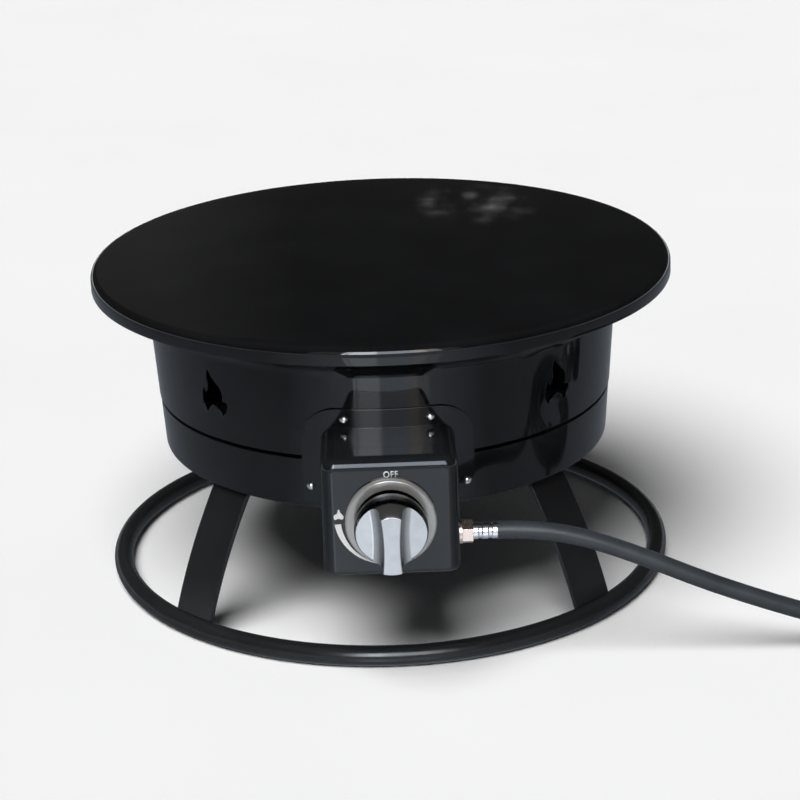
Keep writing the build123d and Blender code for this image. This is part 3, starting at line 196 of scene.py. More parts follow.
def blackEnamel(name, dark, pale, gloss, grooved=False):
    plan = enamelPlan
    material, tree, shader = startFinish(name)
    place = ownPlace(tree)
    stops = list(zip(plan["cloudSpan"], (dark, pale)))
    colour = tint(tree, grainAt(tree, place, *plan["cloud"]), stops)
    smear = spread(tree, grainAt(tree, place, *plan["smear"]), *gloss)
    edge = softEdge(tree, plan["edge"])
    wave = relief(tree, grainAt(tree, place, *plan["wave"]), plan["waveDepth"], edge)
    skin = relief(tree, grainAt(tree, place, *plan["peel"]), plan["peelDepth"], wave)
    if grooved:
        # painted shade: the gap between the two shells is darkened in colour
        gap = inBand(tree, axesOf(tree, place)["Z"], *plan["groove"])
        colour = mix(tree, gap, colour, plan["grooveShade"])
        lean = workOutVector(tree, "SCALE", {0: plan["lean"], "Scale": gap})
        leaning = workOutVector(tree, "ADD", {0: skin, 1: lean})
        skin = workOutVector(tree, "NORMALIZE", {0: leaning})
    join(tree, shader, Base_Color=colour, Roughness=smear, Normal=skin)
    return material


metalPlan = {
    "cloud": (90.0, 4.0, 0.6),
    "cloudSpan": (0.3, 0.7),
    "lines": (900.0, 2.0),
    "edge": 0.0004,
}

knobPlan = {
    "alongCheeks": (0, -1, -0.1584),    # square to the two cheeks
    "cheekLevel": 0.2598,
    "paintedDarkShare": 0.10,                 # the skirt and dome behind the cheeks are darkened as a painted dark reflection of the bowl above
}

metals = {
    "zincSteel": {"dark": (0.42, 0.43, 0.44), "pale": (0.60, 0.60, 0.58), "gloss": (0.25, 0.42)},
    "brightScrew": {"dark": (0.78, 0.78, 0.79), "pale": (0.88, 0.88, 0.88), "gloss": (0.12, 0.26)},
    # painted reflection: the bezel is only part metal, so its warm grey catches the lamp in place of a
    # reflected pale room
    "chromePlate": {"dark": (0.335, 0.33, 0.315), "pale": (0.37, 0.365, 0.35), "gloss": (0.10, 0.18),
                    "metal": 0.4},
    "satinChrome": {"dark": (0.49, 0.485, 0.47), "pale": (0.55, 0.545, 0.53), "gloss": (0.12, 0.20),
                    "lineStretch": (1, 1, 18), "lineDepth": 0.000003, "skirt": knobPlan},
    "pinkBrass": {"dark": (0.88, 0.71, 0.61), "pale": (0.95, 0.80, 0.71), "gloss": (0.22, 0.36)},
    "crimpSteel": {"dark": (0.80, 0.79, 0.78), "pale": (0.92, 0.92, 0.91), "gloss": (0.20, 0.32),
                   "lineStretch": (30, 1, 1), "lineDepth": 0.000005},
    "dieCast": {"dark": (0.34, 0.35, 0.36), "pale": (0.46, 0.47, 0.48), "gloss": (0.42, 0.58),
                "lineDepth": 0.00003},
}


def plainMetal(name, dark, pale, gloss, lineStretch=None, lineDepth=None, skirt=None, metal=1.0):
    plan = metalPlan
    material, tree, shader = startFinish(name)
    shader.inputs["Metallic"].default_value = metal
    place = ownPlace(tree)
    stops = list(zip(plan["cloudSpan"], (dark, pale)))
    colour = tint(tree, grainAt(tree, place, *plan["cloud"]), stops)
    lines = grainAt(tree, ownPlace(tree, lineStretch), *plan["lines"])
    if skirt:
        # painted reflection: colour darkened behind the cheeks, where the chrome would mirror the dark bowl
        level = workOutVector(tree, "DOT_PRODUCT", {0: place, 1: skirt["alongCheeks"]}, "Value")
        behind = workOut(tree, "LESS_THAN", level, skirt["cheekLevel"])
        paintedDark = [share * skirt["paintedDarkShare"] for share in dark]
        colour = mix(tree, behind, colour, (*paintedDark, 1))
    shape = softEdge(tree, plan["edge"])
    if lineDepth:
        shape = relief(tree, lines, lineDepth, shape)
    join(tree, shader, Base_Color=colour, Roughness=spread(tree, lines, *gloss), Normal=shape)
    return material


heatPlan = {
    "heat": (26.0, 3.0),
    "stops": [      # bare steel, straw, brown and blue
        (0.30, (0.52, 0.50, 0.48)),
        (0.50, (0.50, 0.40, 0.27)),
        (0.62, (0.33, 0.24, 0.22)),
        (0.74, (0.25, 0.27, 0.34)),
    ],
    "lines": (500.0,),
    "lineStretch": (1, 1, 12),
    "gloss": (0.24, 0.42),
    "edge": 0.0005,
}


def heatedSteel():
    plan = heatPlan
    material, tree, shader = startFinish("heatedSteel")
    shader.inputs["Metallic"].default_value = 1.0
    colour = tint(tree, grainAt(tree, ownPlace(tree), *plan["heat"]), plan["stops"])
    lines = grainAt(tree, ownPlace(tree, plan["lineStretch"]), *plan["lines"])
    smear = spread(tree, lines, *plan["gloss"])
    join(tree, shader, Base_Color=colour, Roughness=smear, Normal=softEdge(tree, plan["edge"]))
    return material


plasticPlan = {
    "cloud": (160.0, 4.0),
    "stops": [(0.3, (0.010, 0.010, 0.011)), (0.7, (0.020, 0.020, 0.022))],
    "smear": (420.0, 3.0),
    "gloss": (0.38, 0.55),
    "grit": (2600.0, 2.0),          # fine texture of the mould
    "gritDepth": 0.00003,
    "edge": 0.0006,
}


def mouldedBlack():
    plan = plasticPlan
    material, tree, shader = startFinish("mouldedBlack")
    place = ownPlace(tree)
    paint(tree, shader, place, plan)
    grit = grainAt(tree, place, *plan["grit"])
    join(tree, shader, Normal=relief(tree, grit, plan["gritDepth"], softEdge(tree, plan["edge"])))
    return material


rubberPlan = {
    "specular": 0.45,
    "cloud": (45.0, 5.0, 0.6),      # bloom on the rubber
    "stops": [(0.3, (0.028, 0.032, 0.037)), (0.75, (0.044, 0.050, 0.057))],
    "smear": (260.0, 4.0),
    "gloss": (0.34, 0.48),
    "skin": (1500.0, 3.0),
    "skinDepth": 0.00004,
}


def hoseRubber():
    plan = rubberPlan
    material, tree, shader = startFinish("hoseRubber")
    shader.inputs["Specular IOR Level"].default_value = plan["specular"]
    place = ownPlace(tree)
    paint(tree, shader, place, plan)
    skin = grainAt(tree, place, *plan["skin"])
    join(tree, shader, Normal=relief(tree, skin, plan["skinDepth"]))
    return material


sealPlan = {
    "cloud": (700.0,),
    "stops": [(0.3, (0.008, 0.008, 0.008)), (0.7, (0.016, 0.016, 0.016))],
    "smear": (900.0,),
    "gloss": (0.4, 0.6),
}


def sealRubber():
    material, tree, shader = startFinish("sealRubber")
    paint(tree, shader, ownPlace(tree), sealPlan)
    return material


lavaPlan = {
    "specular": 0.25,
    "cloud": (38.0, 6.0, 0.65),
    "stops": [
        (0.30, (0.030, 0.022, 0.020)),
        (0.48, (0.085, 0.050, 0.040)),
        (0.62, (0.130, 0.070, 0.052)),
        (0.78, (0.055, 0.045, 0.042)),
    ],
    "gloss": (0.8, 0.98),
    "lumps": (160.0, 6.0, 0.7),
    "lumpDepth": 0.0020,
    "pores": 420.0,
    "poreDepth": 0.0016,
    "crumbs": 1100.0,
    "crumbDepth": 0.0006,
}


def lavaStone():
    plan = lavaPlan
    material, tree, shader = startFinish("lavaStone")
    shader.inputs["Specular IOR Level"].default_value = plan["specular"]
    place = ownPlace(tree)
    cloud = grainAt(tree, place, *plan["cloud"])
    colour = tint(tree, cloud, plan["stops"])
    rough = relief(tree, grainAt(tree, place, *plan["lumps"]), plan["lumpDepth"])
    deep = relief(tree, cellsAt(tree, place, plan["pores"]), plan["poreDepth"], rough)
    fine = relief(tree, cellsAt(tree, place, plan["crumbs"]), plan["crumbDepth"], deep)
    join(tree, shader, Base_Color=colour, Roughness=spread(tree, cloud, *plan["gloss"]), Normal=fine)
    return material


webPlan = {
    "sheen": 0.3,
    "bands": ("Y", 190.0, 1.2),             # way, scale and distortion of the threads
    "cross": ("DIAGONAL", 150.0, 0.8),
    "threadDepth": 0.0003,
    "fuzz": (800.0, 4.0),
    "stops": [(0.3, (0.010, 0.010, 0.011)), (0.75, (0.030, 0.030, 0.032))],
    "gloss": (0.75, 0.95),
}


def wovenWeb():
    plan = webPlan
    material, tree, shader = startFinish("wovenWeb")
    shader.inputs["Sheen Weight"].default_value = plan["sheen"]
    place = ownPlace(tree)
    bands = wavesAt(tree, place, *plan["bands"])
    cross = wavesAt(tree, place, *plan["cross"])
    threads = relief(tree, workOut(tree, "MULTIPLY", bands, cross), plan["threadDepth"])
    fuzz = grainAt(tree, place, *plan["fuzz"])
    colour = tint(tree, fuzz, plan["stops"])
    join(tree, shader, Base_Color=colour, Roughness=spread(tree, fuzz, *plan["gloss"]), Normal=threads)
    return material


inkPlan = {
    "cloud": (1400.0, 3.0),
    "stops": [(0.3, (0.70, 0.71, 0.72)), (0.6, (0.84, 0.84, 0.84))],
    "smear": (900.0,),
    "gloss": (0.45, 0.6),
}


def dialInk():
    material, tree, shader = startFinish("dialInk")
    paint(tree, shader, ownPlace(tree), inkPlan)
    return material


finishes = {name: blackEnamel(name, **coat) for name, coat in enamels.items()}
finishes.update({name: plainMetal(name, **plate) for name, plate in metals.items()})
for made in (heatedSteel(), mouldedBlack(), hoseRubber(), sealRubber(), lavaStone(), wovenWeb(), dialInk()):
    finishes[made.name] = made

finishOf = {
    "drumEnamel": ["upper_wall"],
    "bowlEnamel": ["lower_bowl"],
    "lidEnamel": ["lid"],
    "boxEnamel": ["control_box"],
    "standEnamel": ["base_ring", "leg_front_left", "leg_front_right", "leg_rear_left", "leg_rear_right"],
    "zincSteel": ["leg_bolts", "leg_nuts", "burner_brackets", "burner_screws", "burner_nuts",
                  "inlet_locknut", "bonnet_screws", "valve_screws", "return_spring", "thrust_washer",
                  "knob_clip", "regulator_screws", "valve_stem"],
    "brightScrew": ["panel_screws"],
    "chromePlate": ["control_bezel"],
    "satinChrome": ["knob_shell"],
    "pinkBrass": ["inlet_fitting", "gas_jet", "valve_plug", "tank_nipple", "inlet_elbow"],
    "crimpSteel": ["hose_ferrule", "end_ferrule"],
    "dieCast": ["valve_body", "valve_bonnet", "regulator_body", "regulator_cover"],
    "heatedSteel": ["burner_ring", "mixing_tube", "air_shutter"],
    "mouldedBlack": ["knob_hub", "tank_nut", "vent_cap"],
    "sealRubber": ["nipple_seal"],
    "lavaStone": ["lava_rocks"],
    "hoseRubber": ["hose_lead", "hose_coil"],
    "wovenWeb": ["hose_tie"],
}
for finish, names in finishOf.items():
    for nodeName in names:
        slots = nodes[nodeName].data.materials
        slots.clear()
        slots.append(finishes[finish])
print("finishes:", len(finishes), "on", sum(len(names) for names in finishOf.values()), "nodes")


# Pieces

def linked(name, data):
    thing = bpy.data.objects.new(name, data)
    scene.collection.objects.link(thing)
    return thing


def newPiece(name, data, finish, body, replaced=()):
    data.materials.clear()
    data.materials.append(finishes[finish])
    piece = linked(name, data)
    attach(piece, body)
    if replaced:
        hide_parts(*replaced)
    return piece


def meshFrom(name, build):
    mesh = bpy.data.meshes.new(name)
    build.to_mesh(mesh)
    build.free()
    return mesh


def meshOf(draft):
    depsgraph = bpy.context.evaluated_depsgraph_get()
    made = bpy.data.meshes.new_from_object(draft.evaluated_get(depsgraph))
    bpy.data.objects.remove(draft)
    return made


def smoothed(mesh, angle=35):
    mesh.shade_smooth()
    mesh.set_sharp_from_angle(angle=math.radians(angle))
    return mesh


# Lid: a fine turning of the same crown, shoulder and lip, so that its long highlights run clean
lidPlan = {
    "radius": 0.2413,
    "shoulder": 0.006,
    "crownRise": 0.007,
    "lipDepth": 0.014,
    "sheet": 0.0015,
    "hem": 0.0005,           # rounding of the cut edge
    "hemBelly": 0.3,         # share of the hem at the middle of its round
    "beadTop": 0.2643,
    "beadCircle": 0.23135,
    "seatGap": 0.0003,
    "rounds": 288,
    "crownRings": 20,
    "shoulderRings": 12,
    "sharpFrom": 50,
}


def lidOutline():
    plan = lidPlan
    radius, sheet, shoulder = plan["radius"], plan["sheet"], plan["shoulder"]
    reach = radius - shoulder
    crown = (reach ** 2 + plan["crownRise"] ** 2) / (2 * plan["crownRise"])
    start = reach / (1 - shoulder / crown)
    tilt = math.asin(start / crown)
    sag = crown - math.sqrt(crown ** 2 - plan["beadCircle"] ** 2)
    apex = plan["beadTop"] + plan["seatGap"] + sheet + sag
    shoulderZ = apex - crown + (crown - shoulder) * math.cos(tilt)
    lipZ = shoulderZ + shoulder - plan["lipDepth"]

    def side(inset):
        line = []
        for i in range(1, plan["crownRings"] + 1):
            turn = tilt * i / plan["crownRings"]
            line.append(((crown - inset) * math.sin(turn), apex - crown + (crown - inset) * math.cos(turn)))
        for i in range(1, plan["shoulderRings"] + 1):
            turn = tilt + (math.pi / 2 - tilt) * i / plan["shoulderRings"]
            bend = shoulder - inset
            line.append((reach + bend * math.sin(turn), shoulderZ + bend * math.cos(turn)))
        return line

    hem = plan["hem"]
    belly = hem * plan["hemBelly"]
    outerFoot = [(radius, lipZ + hem), (radius - belly, lipZ + belly), (radius - hem, lipZ)]
    innerFoot = [(radius - sheet + hem, lipZ), (radius - sheet, lipZ + hem)]
    return apex, apex - sheet, side(0) + outerFoot + innerFoot + side(sheet)[::-1]


def makeLid():
    top, under, outline = lidOutline()
    rounds = lidPlan["rounds"]
    turns = [2 * math.pi * i / rounds for i in range(rounds)]
    build = bmesh.new()
    rings = []
    for r, z in outline:
        rings.append([build.verts.new((r * math.cos(turn), r * math.sin(turn), z)) for turn in turns])
    first, last = build.verts.new((0, 0, top)), build.verts.new((0, 0, under))
    for i in range(rounds):
        j = (i + 1) % rounds
        build.faces.new((first, rings[0][i], rings[0][j]))
        build.faces.new((last, rings[-1][j], rings[-1][i]))
        for near, far in zip(rings, rings[1:]):
            build.faces.new((near[i], far[i], far[j], near[j]))
    mesh = smoothed(meshFrom("lidSheet", build), lidPlan["sharpFrom"])
    newPiece("lid_sheet", mesh, "lidEnamel", "lid", ("lid",))


makeLid()
print("lid: turned")


# Hose: the route of the model's tube, then the put-away coil and its tail
hosePlan = {
    "diameter": 0.014,
    "exit": (0.082, -0.2254, 0.109),
    "route": [
        (0.110, -0.2254, 0.1090),
        (0.150, -0.2262, 0.1004),
        (0.195, -0.2274, 0.0826),
        (0.240, -0.2282, 0.0619),
        (0.285, -0.2283, 0.0439),
        (0.330, -0.2277, 0.0278),
        (0.366, -0.2268, 0.0166),
        (0.394, -0.2260, 0.0106),
        (0.429, -0.2254, 0.0086),
    ],
    "coilCentre": (0.454, -0.1267),
    "coilRadius": 0.0987,
    "coilTurns": 5.25,
    "easeTurns": 0.25,       # the spiral reverses within this much of its middle
    "climbTurns": 0.5,       # and climbs to the upper layer over this much
    "pitch": 0.0149,
    "lowHeight": 0.0086,
    "perTurn": 24,
    "tail": 0.052,
    "tailKnots": (0.25, 1.0),
    "length": 3.05,
    "splineSteps": 6,
    "roundSteps": 6,
}


def coilPoint(turn):
    plan = hosePlan
    middle = plan["coilTurns"] / 2
    away = turn - middle
    ease = plan["easeTurns"]
    eased = abs(away) if abs(away) > ease else away ** 2 / (2 * ease) + ease / 2
    radius = plan["coilRadius"] - plan["pitch"] * (middle - eased)
    radius /= math.cos(math.pi / plan["perTurn"])    # the spline runs inside its control points
    lift = min(max(away / plan["climbTurns"] + 0.5, 0), 1)
    height = plan["lowHeight"] + plan["pitch"] * lift ** 2 * (3 - 2 * lift)
    angle = 2 * math.pi * turn - math.pi / 2
    x, y = plan["coilCentre"]
    return (x + radius * math.cos(angle), y + radius * math.sin(angle), height)


def makeHose():
    plan = hosePlan
    points = [plan["exit"], *plan["route"]]
    count = round(plan["coilTurns"] * plan["perTurn"])
    points += [coilPoint((i + 0.5) / plan["perTurn"]) for i in range(count)]
    x, y = plan["coilCentre"]
    top = plan["lowHeight"] + plan["pitch"]
    points += [(x + plan["coilRadius"], y + plan["tail"] * share, top) for share in plan["tailKnots"]]
    curve = bpy.data.curves.new("gasHose", "CURVE")
    curve.dimensions = "3D"
    spline = curve.splines.new("NURBS")
    spline.points.add(len(points) - 1)
    for knot, spot in zip(spline.points, points):
        knot.co = (*spot, 1)
    spline.order_u = 3
    spline.use_endpoint_u = True
    spline.resolution_u = plan["splineSteps"]
    curve.bevel_depth = plan["diameter"] / 2
    curve.bevel_resolution = plan["roundSteps"]
    curve.use_fill_caps = True
    return newPiece("gas_hose", curve, "hoseRubber", "root", ("hose_lead", "hose_coil"))


hose = makeHose()
print("hose: one spline of", len(hose.data.splines[0].points), "points")


# Strap round the coil, one wrap with its end lapped on top
tiePlan = {
    "thickness": 0.0012,
    "corner": 0.007,
    "lap": 0.034,
    "lapKnots": (0.2, 0.45, 0.7),   # shares of the lap where its loose end has points
    "lapLift": 1.15,                # height of the loose end, in thicknesses
    "steps": 6,
    "across": 5,
    "solid": 0.9,                   # made thickness, in thicknesses, which leaves room for the lap
    "edge": 0.2,                    # rounding of its edges, in thicknesses
    "edgeSteps": 2,
}


def tieLine(west, east, foot, top):
    plan = tiePlan
    thickness, corner, lap = plan["thickness"], plan["corner"], plan["lap"]
    line = []
    for x, z, start in (
        (east - corner, top - corner, 90),
        (east - corner, foot + corner, 0),
        (west + corner, foot + corner, -90),
        (west + corner, top - corner, -180),
    ):
        for i in range(plan["steps"] + 1):
            angle = math.radians(start - 90 * i / plan["steps"])
            line.append((x + corner * math.cos(angle), z + corner * math.sin(angle)))
    middle = (west + east) / 2
    loose = [(middle + lap * share, top + thickness * plan["lapLift"]) for share in plan["lapKnots"]]
    return [(middle - lap / 2, top), *line, (middle, top + thickness / 2), *loose]


def makeTie():
    plan = tiePlan
    low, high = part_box("hose_tie")
    half = plan["thickness"] / 2
    line = tieLine(low.x + half, high.x - half, low.z + half, high.z - half)
    build = bmesh.new()
    rows = []
    for j in range(plan["across"]):
        y = low.y + (high.y - low.y) * j / (plan["across"] - 1)
        rows.append([build.verts.new((x, y, z)) for x, z in line])
    for near, far in zip(rows, rows[1:]):
        for i in range(len(line) - 1):
            build.faces.new((near[i], near[i + 1], far[i + 1], far[i]))
    draft = linked("coil_tie_draft", meshFrom("coilTie", build))
    thick = draft.modifiers.new("thick", "SOLIDIFY")
    thick.thickness = plan["thickness"] * plan["solid"]
    thick.offset = 0
    rounded = draft.modifiers.new("rounded", "BEVEL")
    rounded.width = plan["thickness"] * plan["edge"]
    rounded.segments = plan["edgeSteps"]
    return newPiece("coil_tie", smoothed(meshOf(draft)), "wovenWeb", "root", ("hose_tie",))


tie = makeTie()
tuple(hosePlan["exit"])


# Rock bed: each lump roughened from its plain solid
rockPlan = {
    "weld": 0.00005,
    "shrink": 0.965,
    "voxel": 0.0026,
    "wearFactor": 0.5,
    "wearRounds": 3,
    "lumpScale": 55.0,
    "lumpDepth": 0.0030,
    "lumpSink": 0.45,        # keeps most of the surface inside the plain solid
    "pitScale": 210.0,
    "pitShift": (7, 3, 1),
    "pitDepth": 0.0013,
    "pitGain": 2.2,
}


def lumpsOf(build):
    seen = set()
    for start in build.verts:
        if start in seen:
            continue
        seen.add(start)
        lump = [start]
        for spot in lump:       # the list grows while it is walked
            for link in spot.link_edges:
                other = link.other_vert(spot)
                if other not in seen:
                    seen.add(other)
                    lump.append(other)
        yield lump


def makeRocks():
    plan = rockPlan
    build = bmesh.new()
    build.from_mesh(nodes["lava_rocks"].data)
    bmesh.ops.remove_doubles(build, verts=build.verts, dist=plan["weld"])
    count = 0
    for lump in lumpsOf(build):
        middle = sum((v.co for v in lump), Vector()) / len(lump)
        for v in lump:
            v.co = middle + (v.co - middle) * plan["shrink"]
        count += 1
    draft = linked("rock_draft", meshFrom("rockBed", build))
    remesh = draft.modifiers.new("lumps", "REMESH")
    remesh.mode = "VOXEL"
    remesh.voxel_size = plan["voxel"]
    worn = draft.modifiers.new("worn", "SMOOTH")
    worn.factor = plan["wearFactor"]
    worn.iterations = plan["wearRounds"]
    made = meshOf(draft)
    made.shade_smooth()
    shift = Vector(plan["pitShift"])
    normals = [v.normal.copy() for v in made.vertices]
    for v, out in zip(made.vertices, normals):
        swell = noise.noise(v.co * plan["lumpScale"]) - plan["lumpSink"]
        pit = 1 - plan["pitGain"] * abs(noise.noise(v.co * plan["pitScale"] + shift))
        v.co += out * (plan["lumpDepth"] * swell - plan["pitDepth"] * pit)
    print("rocks:", count, "lumps,", len(made.polygons), "faces")
    newPiece("lava_bed", made, "lavaStone", "root", ("lava_rocks",))


makeRocks()


# Return spring, in a mesh of its own
springPlan = {"anchor": (0.0, -0.2355, 0.134), "axis": (0, 1, 0), "keep": 0.65}


def makeSpring():
    plan = springPlan
    mesh = nodes["return_spring"].data.copy()
    piece = newPiece("spring_wire", mesh, "zincSteel", "root", ("return_spring",))
    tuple(plan["axis"])
    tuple(plan["anchor"])
    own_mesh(piece)


makeSpring()


# Printed dial marks, laid on the control box's face
dialPlan = {
    "axisHeight": 0.134,
    "probeFrom": -1.0,       # well in front of the box
    "film": 0.00012,
    "filmRise": 0.3,         # how far the film's middle stands off the face, in films
    "offWord": {"middle": (0.0010, 0.1717), "width": 0.0112, "height": 0.0054, "spacing": 1.08,
                "weight": 0.018, "steps": 4},
    "flame": {
        "middle": (-0.0393, 0.1402),
        "height": 0.0086,
        "steps": 5,
        "outline": [
            (0.0, 0.52), (0.16, 0.20), (0.33, 0.02), (0.43, -0.22), (0.30, -0.44), (0.05, -0.36),
            (-0.10, -0.36), (-0.34, -0.44), (-0.43, -0.20), (-0.32, 0.04), (-0.22, 0.06), (-0.10, 0.22),
        ],
    },
    "sweep": {"angle": (182, 258), "outer": (0.0426, 0.0360), "thick": (0.0049, 0.0003), "steps": 40},
}


def boxFace():
    mesh = nodes["control_box"].data
    return BVHTree.FromPolygons([v.co for v in mesh.vertices], [p.vertices for p in mesh.polygons])


faceTree = boxFace()


def printOn(name, mesh):
    # lays the flat (x, z) mesh on the face, with a closed film of ink
    plan = dialPlan
    for v in mesh.vertices:
        hit = faceTree.ray_cast(Vector((v.co.x, plan["probeFrom"], v.co.z)), Vector((0, 1, 0)))[0]
        v.co.y = hit.y - plan["film"] * plan["filmRise"]
    draft = linked(name + "_draft", mesh)
    film = draft.modifiers.new("film", "SOLIDIFY")
    film.thickness = plan["film"]
    film.offset = 0
    newPiece(name, meshOf(draft), "dialInk", "root")


def centred(values, size):
    low, high = min(values), max(values)
    return [(value - (low + high) / 2) / (high - low) * size for value in values]


def makeWord():
    plan = dialPlan["offWord"]
    text = bpy.data.curves.new("offWord", "FONT")
    text.body = "OFF"
    text.align_x = "CENTER"
    text.resolution_u = plan["steps"]
    text.space_character = plan["spacing"]
    text.offset = plan["weight"]
    mesh = meshOf(linked("word_draft", text))
    xs = centred([v.co.x for v in mesh.vertices], plan["width"])
    zs = centred([v.co.y for v in mesh.vertices], plan["height"])
    for v, x, z in zip(mesh.vertices, xs, zs):
        v.co = (plan["middle"][0] + x, 0, plan["middle"][1] + z)
    printOn("dial_off", mesh)


def makeFlameMark():
    plan = dialPlan["flame"]
    x, z = plan["middle"]
    tall = plan["height"]
    curve = bpy.data.curves.new("flameMark", "CURVE")
    curve.dimensions = "2D"
    curve.fill_mode = "BOTH"
    curve.resolution_u = plan["steps"]
    spline = curve.splines.new("BEZIER")
    spline.bezier_points.add(len(plan["outline"]) - 1)
    for knot, (across, up) in zip(spline.bezier_points, plan["outline"]):
        knot.co = (x + across * tall, z + up * tall, 0)
        knot.handle_left_type = knot.handle_right_type = "AUTO"
    spline.use_cyclic_u = True
    mesh = meshOf(linked("flameMark_outline", curve))
    for v in mesh.vertices:
        v.co = (v.co.x, 0, v.co.y)
    printOn("dial_flame", mesh)


def makeSweep():
    plan = dialPlan["sweep"]
    build = bmesh.new()
    pairs = []
    for i in range(plan["steps"] + 1):
        share = i / plan["steps"]
        angle, outer, thick = (
            start + (end - start) * share for start, end in (plan["angle"], plan["outer"], plan["thick"])
        )
        x, z = math.cos(math.radians(angle)), math.sin(math.radians(angle))
        rims = (outer, outer - thick)
        pairs.append([build.verts.new((r * x, 0, dialPlan["axisHeight"] + r * z)) for r in rims])
    for (a, b), (c, d) in zip(pairs, pairs[1:]):
        build.faces.new((a, b, d, c))
    printOn("dial_sweep", meshFrom("sweepMark", build))


makeWord()
makeFlameMark()
makeSweep()
print("dial: word, flame and sweep printed")


# Floor, light and camera

def levelCorners(size, z):
    half = size / 2
    return [(-half, -half, z), (half, -half, z), (half, half, z), (-half, half, z)]


def uprightCorners(fromX, toX, plan):
    y, low, high = plan["away"], plan["low"], plan["high"]
    return [(fromX, y, low), (toX, y, low), (toX, y, high), (fromX, y, high)]


def stagePanel(name, corners, material):
    mesh = bpy.data.meshes.new(name)
    mesh.from_pydata(corners, [], [(0, 1, 2, 3)])
    mesh.materials.append(material)
    panel = linked(name, mesh)
    return panel


floorPlan = {
    "size": 60.0,
    "drop": 0.0004,
    "specular": 0.0,
    "cloud": (3.0, 3.0),
    "stops": [(0.3, (0.93, 0.93, 0.93)), (0.7, (0.95, 0.95, 0.95))],
    "smear": (20.0,),
    "gloss": (0.9, 1.0),
}


def makeFloor():
    plan = floorPlan
    material, tree, shader = startFinish("paleFloor")
    shader.inputs["Specular IOR Level"].default_value = plan["specular"]
    paint(tree, shader, ownPlace(tree), plan)
    stagePanel("floor", levelCorners(plan["size"], -plan["drop"]), material)


# Grey levels of the sky, by share of the way from straight down to straight up
skyPlan = {
    "levels": [(0.50, 0.92), (0.510, 0.80), (0.530, 0.030), (0.72, 0.022), (0.90, 0.07), (1.0, 0.08)],
}


def makeSky():
    world = bpy.data.worlds.new("studio")
    world.use_nodes = True
    tree = world.node_tree
    way = addNode(tree, "TexCoord").outputs["Generated"]
    share = spread(tree, axesOf(tree, way)["Z"], 0.0, 1.0, -1.0, 1.0)
    colour = tint(tree, share, [(at, (level, level, level)) for at, level in skyPlan["levels"]])
    tree.links.new(colour, tree.nodes["Background"].inputs["Color"])
    scene.world = world


sunPlan = {"from": (-0.25, -0.45, 1.0), "strength": 3.2, "angle": 42.0}


def makeSun():
    plan = sunPlan
    lamp = bpy.data.lights.new("overhead", "SUN")
    lamp.energy = plan["strength"]
    lamp.angle = math.radians(plan["angle"])
    sun = linked("overhead", lamp)
    sun.rotation_mode = "QUATERNION"
    sun.rotation_quaternion = Vector(plan["from"]).to_track_quat("Z", "Y")
    sun.visible_glossy = False      # the cards below are what gloss shows


# Studio cards that show only in gloss: a tall window in front, dim glints behind and a sheen on the floor

def makeCard(name, corners, material):
    card = stagePanel(name, corners, material)
    for way in ("camera", "diffuse", "transmission", "volume_scatter", "shadow"):
        setattr(card, "visible_" + way, False)


def startGlow(name):
    material, tree, shader = startFinish(name)
    tree.nodes.remove(shader)
    return material, tree, tree.nodes["Material Output"].inputs["Surface"]


windowPlan = {
    "away": -3.0,
    "low": 0.75,
    "high": 3.2,
    "strength": 12.0,
    "panes": [      # from x, colour
        (-1.6, (0.03, 0.03, 0.03)),
        (-0.835, (0.95, 1.0, 1.08)),
        (-0.766, (0.45, 0.48, 0.52)),
        (-0.70, (0.95, 1.0, 1.08)),
        (-0.15, (0.40, 0.44, 0.50)),
        (0.56, (0.52, 0.48, 0.44)),
        (0.83, (0.26, 0.25, 0.24)),
        (1.15, (0.03, 0.03, 0.03)),
        (1.6, (0.0, 0.0, 0.0)),
    ],
}


def makeWindow():
    plan = windowPlan
    west, east = plan["panes"][0][0], plan["panes"][-1][0]
    material, tree, surface = startGlow("windowGlow")
    across = spread(tree, axesOf(tree, ownPlace(tree))["X"], 0.0, 1.0, west, east)
    panes = [((x - west) / (east - west), colour) for x, colour in plan["panes"]]
    colour = tint(tree, across, panes, stepped=True)
    glow = addNode(tree, "Emission", {"Color": colour, "Strength": plan["strength"]})
    tree.links.new(glow.outputs["Emission"], surface)
    makeCard("window_card", uprightCorners(west, east, plan), material)


glintPlan = {
    "away": 3.0,
    "west": -0.9,
    "east": 0.9,
    "low": 0.6,
    "high": 1.9,
    "base": 0.022,
    "westGlow": 0.040,          # soft light on the left of the lid
    "westFade": (-0.55, -0.20),
    "patch": {
        "x": 0.25,
        "z": 0.885,
        "fade": (0.048, 0.16),  # distance from its middle where it starts and ends to fade
        "grain": (12.0, 3.0),
        "stretch": (1, 1, 3.0),
        "flecks": (0.54, 0.70),
        "strength": 0.8,
    },
}


def makeGlints():
    plan = glintPlan
    patch = plan["patch"]
    material, tree, surface = startGlow("rearGlints")
    place = ownPlace(tree)
    across = axesOf(tree, place)["X"]
    level = spread(tree, across, plan["base"] + plan["westGlow"], plan["base"], *plan["westFade"])
    middle = (patch["x"], plan["away"], patch["z"])
    off = workOutVector(tree, "DISTANCE", {0: place, 1: middle}, "Value")
    near = spread(tree, off, 1.0, 0.0, *patch["fade"])
    streaks = grainAt(tree, ownPlace(tree, patch["stretch"]), *patch["grain"])
    flecks = workOut(tree, "MULTIPLY", spread(tree, streaks, 0.0, 1.0, *patch["flecks"]), near)
    strength = workOut(tree, "MULTIPLY_ADD", flecks, patch["strength"], level)
    glow = addNode(tree, "Emission", {"Strength": strength})
    tree.links.new(glow.outputs["Emission"], surface)
    makeCard("rear_card", uprightCorners(plan["east"], plan["west"], plan), material)


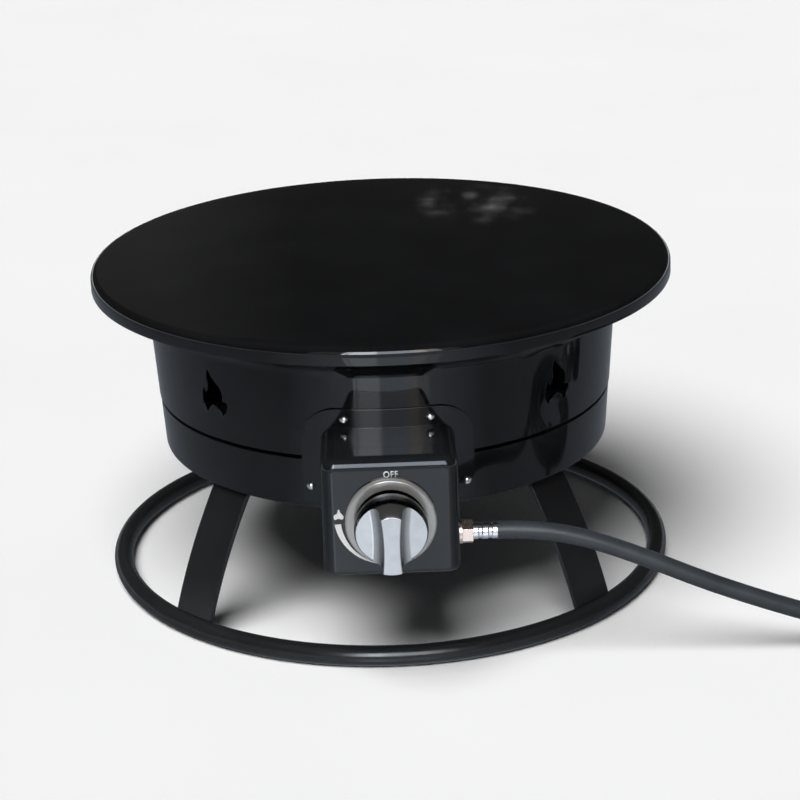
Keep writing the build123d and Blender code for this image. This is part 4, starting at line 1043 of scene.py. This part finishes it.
sheenPlan = {
    "size": 8.0,
    "lift": 0.0002,
    "tone": (0.90, 1.0, 1.14, 1),
    "ahead": 0.58,              # glow in front
    "aside": 0.20,              # glow at the sides and back
    "turn": (15.0, 42.0),       # degrees from straight ahead
    "near": (0.12, 0.36),       # painted shadow: the sheen glows less under the bowl
    "nearShare": 0.4,
    "mirror": (0.10, 0.10, 0.10, 1),
    "mirrorRoughness": 0.05,
}


def makeSheen():
    plan = sheenPlan
    material, tree, surface = startGlow("floorSheen")
    place = ownPlace(tree)
    axes = axesOf(tree, place)
    ahead = workOut(tree, "MULTIPLY", axes["Y"], -1.0)
    turn = workOut(tree, "ABSOLUTE", workOut(tree, "ARCTAN2", axes["X"], ahead))
    fromTurn, toTurn = (math.radians(angle) for angle in plan["turn"])
    level = spread(tree, turn, plan["ahead"], plan["aside"], fromTurn, toTurn)
    away = workOutVector(tree, "LENGTH", {0: place}, "Value")
    share = spread(tree, away, plan["nearShare"], 1.0, *plan["near"])
    strength = workOut(tree, "MULTIPLY", level, share)
    glow = addNode(tree, "Emission", {"Color": plan["tone"], "Strength": strength})
    mirror = addNode(tree, "BsdfAnisotropic", {"Color": plan["mirror"], "Roughness": plan["mirrorRoughness"]})
    both = addNode(tree, "AddShader", {0: glow.outputs["Emission"], 1: mirror.outputs["BSDF"]})
    tree.links.new(both.outputs["Shader"], surface)
    makeCard("floor_sheen", levelCorners(plan["size"], plan["lift"] - floorPlan["drop"]), material)


cameraPlan = {
    "target": (0.0125, -0.0003, 0.1345),
    "distance": 2.0639,
    "azimuth": -0.586,
    "elevation": 20.52,
    "roll": -1.9,
    "lens": 108.70,
    "sensor": 36.0,
    "clipEnd": 200.0,
}


def makeCamera():
    plan = cameraPlan
    way, rise, roll = (math.radians(plan[angle]) for angle in ("azimuth", "elevation", "roll"))
    back = Vector((math.sin(way) * math.cos(rise), -math.cos(way) * math.cos(rise), math.sin(rise)))
    level = Vector((math.cos(way), math.sin(way), 0))
    upright = back.cross(level)
    right = level * math.cos(roll) + upright * math.sin(roll)
    up = upright * math.cos(roll) - level * math.sin(roll)
    eye = Vector(plan["target"]) + back * plan["distance"]
    lens = bpy.data.cameras.new("camera")
    lens.lens = plan["lens"]
    lens.sensor_width = plan["sensor"]
    lens.clip_end = plan["clipEnd"]
    camera = linked("camera", lens)
    camera.matrix_world = Matrix.Translation(eye) @ Matrix((right, up, back)).transposed().to_4x4()
    scene.camera = camera


makeFloor()
makeSky()
makeSun()
makeWindow()
makeGlints()
makeSheen()
makeCamera()
print("stage: floor, sky, lamp, cards and camera")

bpy.context.view_layer.update()
